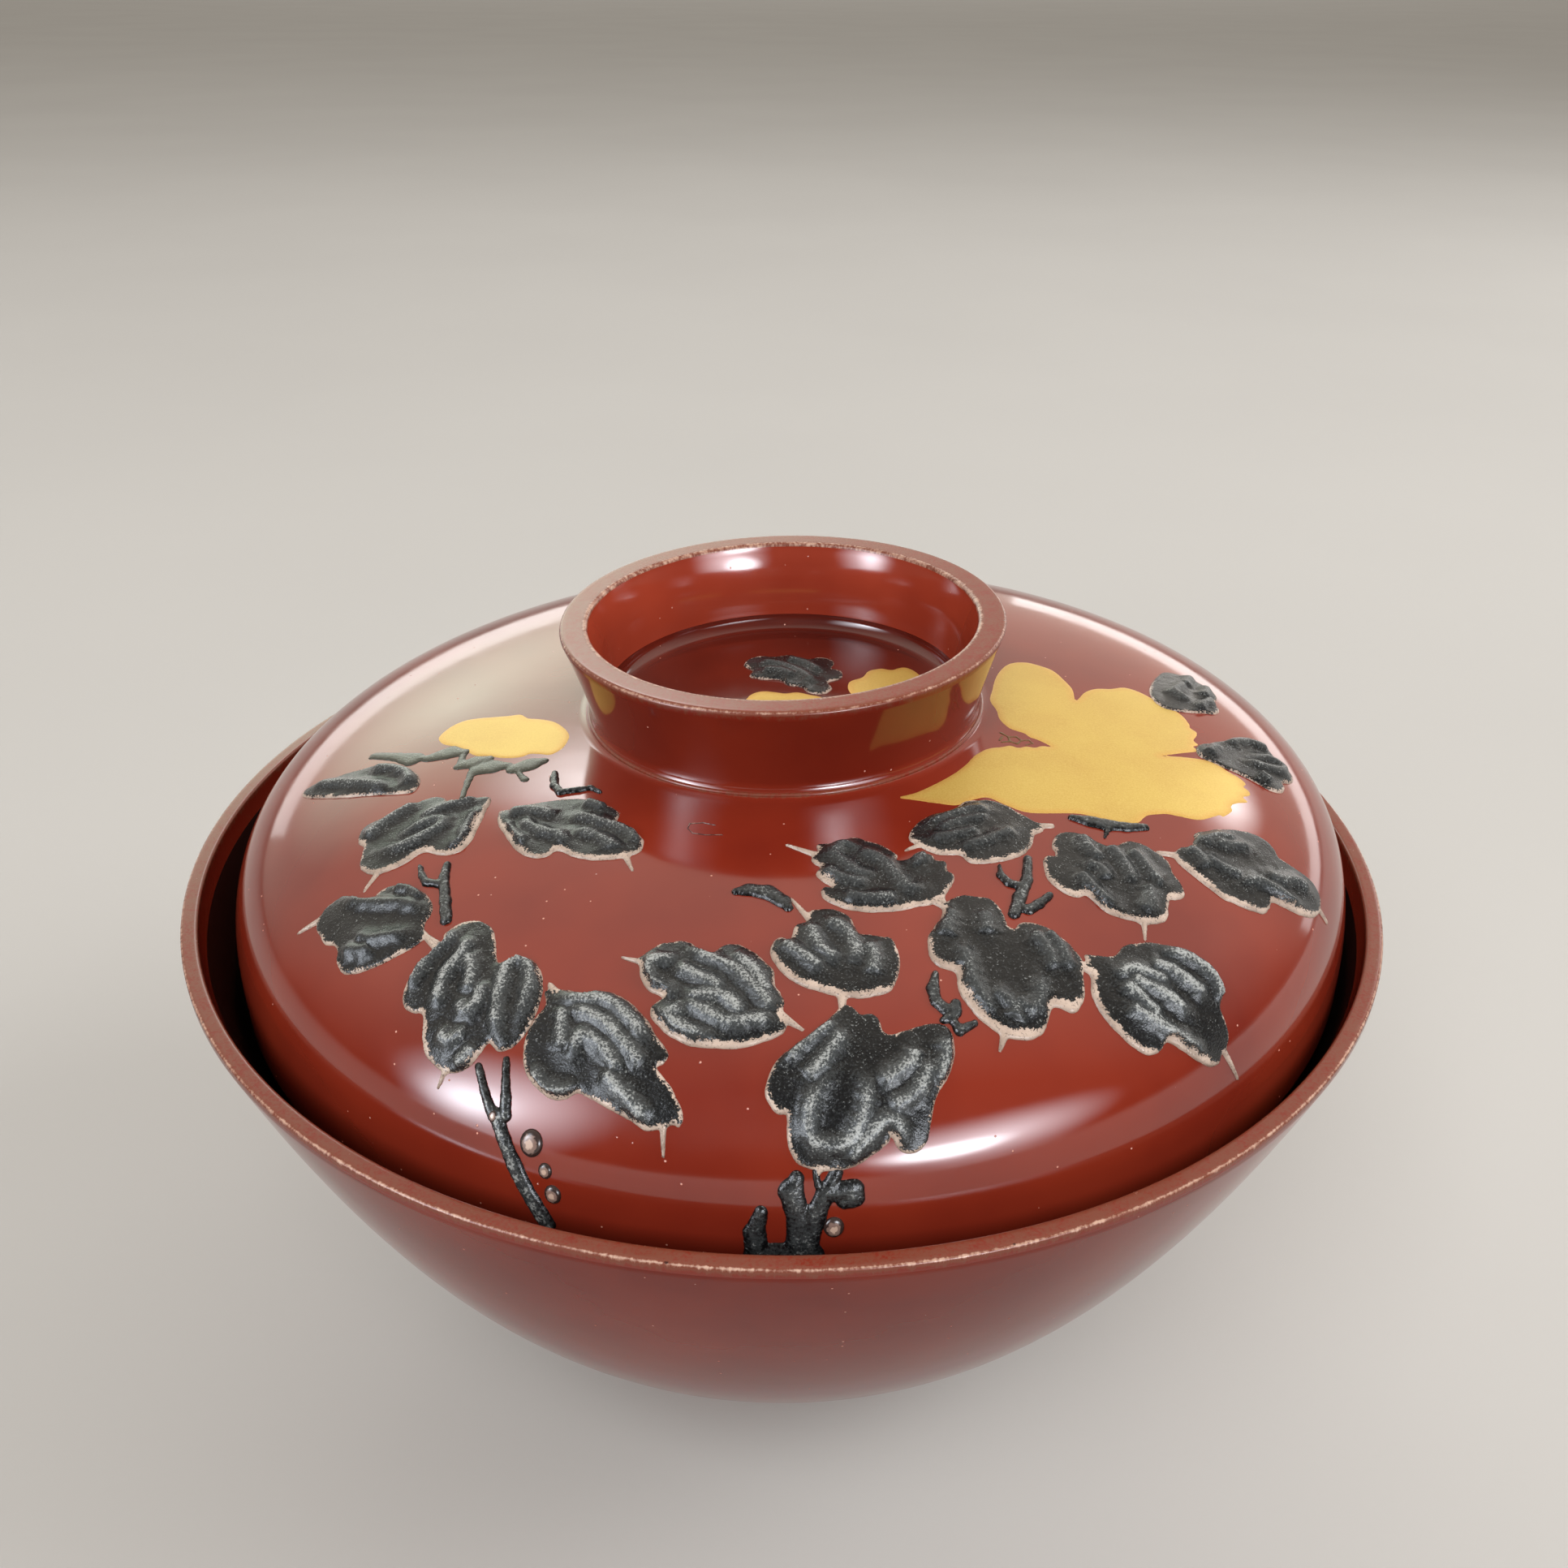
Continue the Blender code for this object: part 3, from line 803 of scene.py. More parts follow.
@dataclass
class Lid:
    """The lid: a dome with a ring handle turned in one with it."""

    dome: Dome = field(default_factory=Dome)
    seating: Seating = field(default_factory=Seating)
    wall: float = 0.0022
    edge_bevel: float = 0.0006
    bead_radius: float = 0.0213
    bead_height: float = 0.0005
    waist_radius: float = 0.0208
    ring_top_radius: float = 0.0233
    ring_height: float = 0.0102
    ring_wall: float = 0.0029
    ring_corner: float = 0.0004
    ring_flare: float = 1.3
    mouth_flare: float = 2.4
    floor_radius: float = 0.0192
    fillet: float = 0.0016
    ring_depth: float = 0.0100
    # Abrasion at the ring's inner corner, top and outer corner; the corner peaks also lay painted
    # highlight lines along the corners.
    ring_inner_wear_and_highlight: float = 0.95
    ring_top_wear: float = 0.36
    ring_corner_wear_and_highlight: Sequence[float] = (0.4, 0.55, 0.8, 0.95, 0.8, 0.55, 0.35)
    bead_wear: float = 0.4
    edge_wear: float = 0.5
    sides: int = 288
    spacing: float = 0.0008
    inside_spacing: float = 0.00144
    floor_spacing: float = 0.002
    wall_rows: int = 15

    @property
    def ring_foot(self) -> float:
        """Level where the ring handle meets the dome."""
        return self.dome.level(self.bead_radius)

    @property
    def floor_level(self) -> float:
        """Level of the floor inside the ring handle."""
        return self.ring_foot + self.ring_height - self.ring_depth

    def ring_profile(self) -> Profile:
        """Outline of the ring handle.

        Returns:
            Its points from the middle of its floor, over its lip, to the bead at its foot.
        """
        outside, edge, _, floor, wall = (band.value for band in LidFinish)
        top, corner = self.ring_foot + self.ring_height, self.ring_corner
        inner = self.ring_top_radius - self.ring_wall
        waist = self.ring_foot + self.bead_height * 1.5
        centre = (self.floor_radius - self.fillet, self.floor_level + self.fillet)
        flat = np.arange(0, centre[0], self.floor_spacing)
        # The floor inside the ring takes the lacquer painted darker as shade.
        points: Profile = [(r, self.floor_level, 0.0, floor) for r in flat]
        points += [(r, z, 0.0, floor) for r, z in arc(centre, self.fillet, -90, 0, 7)[:-1]]
        # The ring's inner wall takes the lacquer painted brighter as lit.
        for share in np.linspace(0, 1, self.wall_rows)[:-1]:
            r = self.floor_radius + (inner - self.floor_radius) * share**self.mouth_flare
            points.append((r, centre[1] + (top - corner - centre[1]) * share, 0.0, wall))
        inward = arc((inner + corner, top - corner), corner, 180, 90, 6)
        points += [(r, z, self.ring_inner_wear_and_highlight, edge) for r, z in inward]
        flat = np.linspace(inner + corner, self.ring_top_radius - corner, 8)[1:-1]
        points += [(r, top, self.ring_top_wear, edge) for r in flat]
        outer = arc((self.ring_top_radius - corner, top - corner), corner, 90, 0, 7)
        points += [(r, z, worn_and_highlit, edge) for (r, z), worn_and_highlit in zip(outer, self.ring_corner_wear_and_highlight)]
        for share in np.linspace(0, 1, 14)[1:]:
            flare = (1 - share) ** self.ring_flare
            r = self.waist_radius + (self.ring_top_radius - self.waist_radius) * flare
            points.append((r, top - corner - (top - corner - waist) * share, 0.0, outside))
        curl = self.bead_height * 0.45
        middle = (self.bead_radius - curl, self.ring_foot + self.bead_height * 0.4)
        points += [(r, z, self.bead_wear, edge) for r, z in arc(middle, curl, 110, -20, 8)]
        return points

    def profile(self) -> Profile:
        """Outline of the lid's section.

        Returns:
            Its points from the ring's floor, over the dome and its edge, to under its crown.
        """
        outside, edge, inside, *_ = (band.value for band in LidFinish)
        outer = self.dome.curve()
        outer = outer[outer[:, 0] >= self.bead_radius + 0.12 * MM]
        hollow = (self.dome.radius - self.wall, self.dome.rise - self.wall)
        inner = Dome(*hollow, self.dome.squareness).curve()
        curl = self.edge_bevel
        points = self.ring_profile()
        points += [(r, z, 0.0, outside) for r, z in evenly(outer, self.spacing) if z > curl]
        rim = arc((self.dome.radius - curl, curl), curl, 0, -90, 5)
        points += [(r, z, self.edge_wear, edge) for r, z in rim]
        points += [(r, z, 0.0, inside) for r, z in evenly(inner[::-1], self.inside_spacing)[:-1]]
        points.append((0.0, self.dome.rise - self.wall, 0.0, inside))
        return points

    def build(self, finishes: Finishes) -> Piece:
        """Makes the lid and stands it in for its solid.

        Args:
            finishes: All finishes.

        Returns:
            The new object.
        """
        outer = [finishes.lid, finishes.rubbed_and_highlit, finishes.black]
        materials = [*outer, finishes.floor, finishes.wall]
        place = self.seating.place
        piece = turned_piece(
            "lid_turning", self.profile(), self.sides, place, materials
        )
        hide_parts("lid")
        return piece


@dataclass(frozen=True)
class Stroke:
    """A brush stroke in millimetres: where it starts and ends, and its half width at each."""

    x: float
    y: float
    half: float
    to_x: float
    to_y: float
    to_half: float

    def depth(self, x: Array, y: Array) -> Array:
        """How deep points lie inside the stroke.

        Args:
            x: Their first coordinates.
            y: Their second coordinates.

        Returns:
            Distance to the stroke's edge, under 0 outside it.
        """
        run = np.array([self.to_x - self.x, self.to_y - self.y])
        length = max(1e-6, float(np.hypot(*run)))
        toward = run / length
        along = (x - self.x) * toward[0] + (y - self.y) * toward[1]
        share = np.clip(along / length, 0, 1)
        near_x, near_y = self.x + run[0] * share, self.y + run[1] * share
        return self.half + (self.to_half - self.half) * share - np.hypot(x - near_x, y - near_y)


def strokes(text: str) -> list[Stroke]:
    """Brush strokes from a text.

    Args:
        text: Runs of points with a slash between runs, each point as x, y and half width in
            hundredths of a drawn millimetre.

    Returns:
        A stroke from each point of a run to the next.
    """
    runs = [
        np.array([point.split(",") for point in run.split()], float) / 100
        for run in text.split("/")
    ]
    return [Stroke(*here, *there) for run in runs for here, there in zip(run, run[1:])]


def melt(depths: Sequence[Array], reach: float) -> Array:
    """Joins several depths into the depth of their union.

    Args:
        depths: Depths of the parts on the same grid.
        reach: Width over which the creases between parts are softened.

    Returns:
        The deepest of them, a little more where two are alike.
    """
    total = depths[0]
    for depth in depths[1:]:
        share = np.clip(0.5 + 0.5 * (total - depth) / reach, 0, 1)
        total = depth + (total - depth) * share + reach * share * (1 - share)
    return total


def bulge(depth: Array, reach: float) -> Array:
    """A quarter round: 0 outside the edge, 1 from a reach inside it."""
    return np.sqrt(1 - (1 - np.clip(depth / reach, 0, 1)) ** 2)


def waver(x: Array, y: Array, seed: float) -> Array:
    """A small unevenness of the hand, over a few millimetres.

    Args:
        x: First coordinates, drawn millimetres.
        y: Second coordinates.
        seed: Number that makes one drawing's unevenness unlike another's.

    Returns:
        Values between -1 and 1.
    """
    first = np.sin(1.9 * x + 0.7 * y + seed) * np.sin(1.3 * y - 0.8 * x + 2.1 * seed)
    second = np.sin(4.1 * x - 2.3 * y + 3.3 * seed) * np.sin(3.7 * y + 1.1 * x + 0.4 * seed)
    return 0.65 * first + 0.35 * second


class Chart(Enum):
    """How a drawing lies on the lid."""

    DOWN_THE_DOME = "across along the rim, down the dome, from a centre"
    FROM_ABOVE = "as seen from straight above the lid"
    RING_FLOOR = "as seen from straight above, on the floor inside the ring handle"


@dataclass
class Ground:
    """The lid's surface as something to draw on.

    Drawings are in millimetres for a dome drawn_radius in radius, and grow with the lid's own.
    """

    lid: Lid
    drawn_radius: float = 60.26

    def __post_init__(self) -> None:
        """Tabulates the dome's curve by its length."""
        curve = self.lid.dome.curve()
        self.run = np.concatenate([[0], np.cumsum(np.hypot(*np.diff(curve, axis=0).T))])
        self.radius, self.level = curve.T
        power = self.lid.dome.squareness - 1
        out = (self.radius / self.lid.dome.radius) ** power / self.lid.dome.radius
        up = (self.level / self.lid.dome.rise) ** power / self.lid.dome.rise
        size = np.hypot(out, up)
        self.out, self.up = out / size, up / size

    @property
    def unit(self) -> float:
        """Metres in a drawn millimetre."""
        return self.lid.dome.radius / self.drawn_radius

    def at(self, run: Array, turn: Array, lift: Array) -> Array:
        """Points on or near the dome, in the lid's own frame.

        Args:
            run: Distance down the dome from its crown.
            turn: Bearing in radians.
            lift: Height above the dome.

        Returns:
            The points.
        """
        tables = (self.radius, self.level, self.out, self.up)
        radius, level, out, up = (np.interp(run, self.run, table) for table in tables)
        radius = radius + out * lift
        return np.stack([radius * np.cos(turn), radius * np.sin(turn), level + up * lift], -1)

    def surface(self, chart: Chart, centre: Point) -> Callable[..., Array]:
        """A function that puts drawn points on the lid.

        Args:
            chart: How the drawing lies.
            centre: Bearing in degrees and distance down the dome of the drawing's centre.

        Returns:
            A function of x and y in drawn millimetres and of lift in metres.
        """

        def down_the_dome(x: Array, y: Array, lift: Array) -> Array:
            """Bends x along the rim and y down the dome."""
            run = (centre[1] + y) * self.unit
            radius = np.interp(run, self.run, self.radius)
            return self.at(run, radians(centre[0]) + x * self.unit / radius, lift)

        def from_above(x: Array, y: Array, lift: Array) -> Array:
            """Drops x and y straight onto the dome."""
            run = np.interp(np.hypot(x, y) * self.unit, self.radius, self.run)
            return self.at(run, np.arctan2(y, x), lift)

        def ring_floor(x: Array, y: Array, lift: Array) -> Array:
            """Lays x and y flat on the floor inside the ring handle."""
            return np.stack([x * self.unit, y * self.unit, self.lid.floor_level + lift], -1)

        charts = dict(zip(Chart, (down_the_dome, from_above, ring_floor)))
        return lambda x, y, lift: self.lid.seating.place(charts[chart](x, y, lift))


@dataclass
class Field:
    """Fields of a raised drawing on a square grid: its depth, lift and marks."""

    x: Array
    y: Array
    depth: Array
    lift: Array
    marks: dict[str, Array]


def grid(low: Point, high: Point, step: float) -> tuple[Array, Array]:
    """A square grid over a box, rows along y."""
    xs, ys = (np.arange(a, b + step, step) for a, b in zip(low, high))
    return tuple(np.meshgrid(xs, ys))


def cut_out(depth: Array) -> tuple[Array, list[list[int]], int]:
    """Covers the part of a grid where the depth is over 0.

    Cells that the line at 0 crosses are cut along it, so that the edge is smooth.

    Args:
        depth: Depth at the grid's corners.

    Returns:
        Rows and columns of the points, faces, and how many of the points are corners.
    """
    inside = depth > 0
    number = np.full(depth.shape, -1)
    number[inside] = np.arange(inside.sum())
    corners = np.argwhere(inside).astype(float)
    around = (number[:-1, :-1], number[:-1, 1:], number[1:, 1:], number[1:, :-1])
    cell = np.stack(around, -1)
    whole = (cell >= 0).all(-1)
    faces = cell[whole].tolist()
    crossings: dict[tuple, int] = {}
    extra: list[Array] = []
    for i, j in np.argwhere((cell >= 0).any(-1) & ~whole).tolist():
        ring = ((i, j), (i, j + 1), (i + 1, j + 1), (i + 1, j))
        loop = []
        for here, there in zip(ring, ring[1:] + ring[:1]):
            if inside[here]:
                loop.append(int(number[here]))
            if inside[here] != inside[there]:
                key = (min(here, there), max(here, there))
                if key not in crossings:
                    share = depth[key[0]] / (depth[key[0]] - depth[key[1]])
                    crossings[key] = len(corners) + len(extra)
                    extra.append(np.array(key[0]) + (np.array(key[1]) - key[0]) * share)
                loop.append(crossings[key])
        faces.append(loop)
    return np.vstack([corners, *extra]), faces, len(corners)


def outline_loops(faces: list[list[int]]) -> list[list[int]]:
    """Finds the open edges of a sheet of faces.

    Args:
        faces: The faces, all wound the same way.

    Returns:
        Loops of points, each around one open edge.
    """
    sides = {(a, b) for face in faces for a, b in zip(face, face[1:] + face[:1])}
    after = {a: b for a, b in sides if (b, a) not in sides}
    loops = []
    while after:
        start = next(iter(after))
        loop, here = [], start
        while here in after:
            loop.append(here)
            here = after.pop(here)
        loops.append(loop)
    return loops


def sample(values: Array, spots: Array) -> Array:
    """Reads a grid between its corners.

    Args:
        values: Values at the grid's corners.
        spots: Rows and columns to read it at.

    Returns:
        The values there.
    """
    last = np.array(values.shape) - 2
    row, column = np.minimum(np.floor(spots).astype(int), last).T
    down, right = spots[:, 0] - row, spots[:, 1] - column
    upper = values[row, column] * (1 - right) + values[row, column + 1] * right
    lower = values[row + 1, column] * (1 - right) + values[row + 1, column + 1] * right
    return upper * (1 - down) + lower * down


def raised_piece(
    name: str,
    drawing: Field,
    surface: Callable[..., Array],
    material: Material,
    buried: float,
) -> Piece:
    """Makes a closed raised piece: its top, an upright edge and a buried underside.

    Args:
        name: Name of the piece.
        drawing: Its fields.
        surface: Puts drawn points on the lid.
        material: Its finish.
        buried: How deep its underside lies in the lid.

    Returns:
        The new object.
    """
    # Corners of the grid that nearly lie on the edge are moved off it, against slivers.
    least = 0.12 * float(drawing.x[0, 1] - drawing.x[0, 0])
    pushed = np.where(drawing.depth > 0, least, -least)
    depth = np.where(np.abs(drawing.depth) < least, pushed, drawing.depth)
    spots, faces, corners = cut_out(depth)
    x, y = sample(drawing.x, spots), sample(drawing.y, spots)
    lift = sample(drawing.lift, spots)
    lift[corners:] = 0.0
    top = surface(x, y, lift)
    marks = {mark: sample(values, spots) for mark, values in drawing.marks.items()}
    loops = outline_loops(faces)
    edge = [point for loop in loops for point in loop]
    lower = {point: len(top) + k for k, point in enumerate(edge)}
    under = surface(x[edge], y[edge], np.full(len(edge), -buried))
    for loop in loops:
        faces += [[b, a, lower[a], lower[b]] for a, b in zip(loop, loop[1:] + loop[:1])]
        faces.append([lower[point] for point in reversed(loop)])
    marks = {mark: np.concatenate([values, values[edge]]) for mark, values in marks.items()}
    points = np.vstack([top, under])
    return new_piece(name, points, faces, [material], marks, RAISED_CREASE)


def path(text: str) -> Array:
    """Points from a text of pairs of numbers, in tenths of a drawn millimetre."""
    return np.array([pair.split(",") for pair in text.split()], float) / 10


def rounded(points: Array, closed: bool, fine: int = 6) -> Array:
    """A smooth curve through points.

    Args:
        points: Points that the curve passes through.
        closed: Whether it returns to its start.
        fine: Number of its steps from each point to the next.

    Returns:
        Points along the curve.
    """
    ends = (points[-1:], points[:2]) if closed else (points[:1], points[-1:])
    line = np.vstack([ends[0], points, ends[1]])
    before, here, after, beyond = line[:-3], line[1:-2], line[2:-1], line[3:]
    rows = []
    for t in np.arange(fine) / fine:
        straight = 2 * here + (after - before) * t
        bend = (2 * before - 5 * here + 4 * after - beyond) * t**2
        twist = (3 * here - before - 3 * after + beyond) * t**3
        rows.append((straight + bend + twist) / 2)
    curve = np.stack(rows, 1).reshape(-1, 2)
    return np.vstack([curve, curve[:1] if closed else points[-1:]])


def beside(curve: Array, x: Array, y: Array) -> tuple[Array, Array]:
    """How points lie against a curve.

    Args:
        curve: Points along the curve.
        x: First coordinates of the points.
        y: Their second coordinates.

    Returns:
        Distance from the curve, and share of the way along it of the nearest place.
    """
    nearest, share = np.full(x.shape, 1e9), np.zeros(x.shape)
    for k, ((ax, ay), (bx, by)) in enumerate(zip(curve, curve[1:])):
        run_x, run_y = bx - ax, by - ay
        length = max(run_x**2 + run_y**2, 1e-9)
        along = np.clip(((x - ax) * run_x + (y - ay) * run_y) / length, 0, 1)
        gap = np.hypot(x - ax - along * run_x, y - ay - along * run_y)
        share = np.where(gap < nearest, (k + along) / (len(curve) - 1), share)
        nearest = np.minimum(nearest, gap)
    return nearest, share


def depth_inside(outline: Array, x: Array, y: Array) -> Array:
    """How deep points lie inside a closed curve.

    Args:
        outline: Points along the curve, with its start again at its end.
        x: First coordinates of the points.
        y: Their second coordinates.

    Returns:
        Distance to the curve, under 0 outside it.
    """
    odd = np.zeros(x.shape, bool)
    for (ax, ay), (bx, by) in zip(outline, outline[1:]):
        crosses = (ay > y) != (by > y)
        if crosses.any():
            odd ^= crosses & (x < (bx - ax) * (y - ay) / (by - ay) + ax)
    nearest = beside(outline, x, y)[0]
    return np.where(odd, nearest, -nearest)


@dataclass
class Drawing:
    """Something drawn on the lid, which becomes one raised piece.

    Attributes:
        name: Name of the piece.
        bearing: Bearing of the drawing's centre, degrees.
        down: Distance of the centre down the dome, drawn millimetres.
        chart: How the drawing lies on the lid.
        buried: How deep the piece's underside lies in the lid, metres.
    """

    name: str
    bearing: float
    down: float
    chart: Chart = field(default=Chart.DOWN_THE_DOME, kw_only=True)
    buried: float = field(default=0.00015, kw_only=True)

    def draw(self) -> Field:
        """Draws it on a grid: its depth, its lift and its marks for the finish."""
        raise NotImplementedError

    def build(self, ground: Ground, material: Material) -> Piece:
        """Makes the piece on the lid.

        Args:
            ground: The lid's surface.
            material: Its finish.

        Returns:
            The new object.
        """
        surface = ground.surface(self.chart, (self.bearing, self.down))
        return raised_piece(self.name, self.draw(), surface, material, self.buried)


@dataclass
class Leaf(Drawing):
    """A raised leaf: a body with brushed ridges, and thin tails.

    Attributes:
        rubbed_and_highlit: How far its ridge crests are painted greyer and flecked, as relief
            highlight and glints, from 0 to about 1.
        outline: Corners of its rounded outline, tenths of a drawn millimetre.
        ridges: Lines that its ridges follow, with a slash between them.
        tails: Strokes of its thin tails and stalks, bare of black.
        bare: Direction of the side whose ground shows most.
        border: Least and most width of the bare ground, drawn millimetres.
        step: Spacing of its grid; this and the lengths down to joint are drawn millimetres.
        margin: Room round the drawing.
        wall_width: Width of the rounded step at its edge.
        coat_slope: Width over which the black coat rises from the bare ground.
        crown_reach: Depth from the edge at which the body is level.
        ridge_half: Half width of a ridge.
        joint: Softness of the joint between body and tails.
        ridge_base: Share of a ridge's height that its hollows lie below the coat.
        edge_height: Height of the ground's edge, metres, as are the heights after it.
    """

    rubbed_and_highlit: float
    outline: str
    ridges: str
    tails: str = ""
    bare: Point = (0.0, 1.0)
    border: Point = (0.16, 0.62)
    step: float = 0.17
    margin: float = 0.9
    wall_width: float = 0.3
    coat_slope: float = 0.25
    crown_reach: float = 2.2
    ridge_half: float = 0.8
    joint: float = 0.3
    ridge_base: float = 0.35
    edge_height: float = 0.00026
    black_height: float = 0.00014
    crown_height: float = 0.00012
    ridge_height: float = 0.00062

    def ridge(self, x: Array, y: Array, seed: float) -> Array:
        """Where the ridges are.

        Args:
            x: First coordinates, drawn millimetres.
            y: Second coordinates.
            seed: Number of the leaf's own unevenness.

        Returns:
            Height share, from 0 between the ridges to 1 on their crests.
        """
        total = np.zeros(x.shape)
        for text in self.ridges.split("/"):
            gap, share = beside(rounded(path(text), False, 4), x, y)
            half = self.ridge_half * (1 + 0.25 * waver(x, y, seed + 7))
            fade = np.clip(5 * np.minimum(share, 1 - share) + 0.25, 0, 1)
            total = np.maximum(total, np.exp(-((gap / half) ** 2)) * fade)
        return total

    def draw(self) -> Field:
        """Draws the leaf on a grid.

        Returns:
            Its depth, its lift, and its marks for the finish: how far the black covers the ground,
            and how high its ridges are, scaled by how much painted highlight and glint their
            crests take.
        """
        outline = rounded(path(self.outline), True)
        tails = strokes(self.tails)
        spots = np.vstack([outline, *[[(s.x, s.y), (s.to_x, s.to_y)] for s in tails]])
        x, y = grid(spots.min(0) - self.margin, spots.max(0) + self.margin, self.step)
        seed = self.bearing * 0.37
        # The hand's unevenness, then a rounded edge wall, the black coat and its crown.
        blade = depth_inside(outline, x, y) + 0.05 * waver(1.4 * x, 1.4 * y, seed)
        depth = melt([blade, *[s.depth(x, y) for s in tails]], self.joint)
        ridge = self.ridge(x, y, seed)
        slope_y, slope_x = np.gradient(-depth, self.step)
        size = np.maximum(np.hypot(slope_x, slope_y), 1e-6)
        facing = (slope_x * self.bare[0] + slope_y * self.bare[1]) / size / np.hypot(*self.bare)
        least, most = self.border
        border = least + (most - least) * np.clip(facing + 0.15, 0, 1)
        border = np.maximum(border + 0.12 * waver(1.7 * x, 1.7 * y, seed + 2), 0.08)
        cover = np.minimum(depth, blade) - border
        wall = bulge(depth, self.wall_width)
        coat = np.clip(cover / self.coat_slope, 0, 1)
        coat = coat * coat * (3 - 2 * coat)
        crown = bulge(blade, self.crown_reach) + 0.25 * waver(0.8 * x, 0.8 * y, seed + 4)
        black = self.black_height + self.crown_height * crown
        black = black + self.ridge_height * (ridge - self.ridge_base)
        lift = self.edge_height * wall + coat * black
        # The ridge mark also carries the painted highlight and glints on the crests.
        marks = {"cover": cover * MM, "ridge": ridge * coat * self.rubbed_and_highlit}
        return Field(x, y, depth, np.maximum(lift, 0.0), marks)


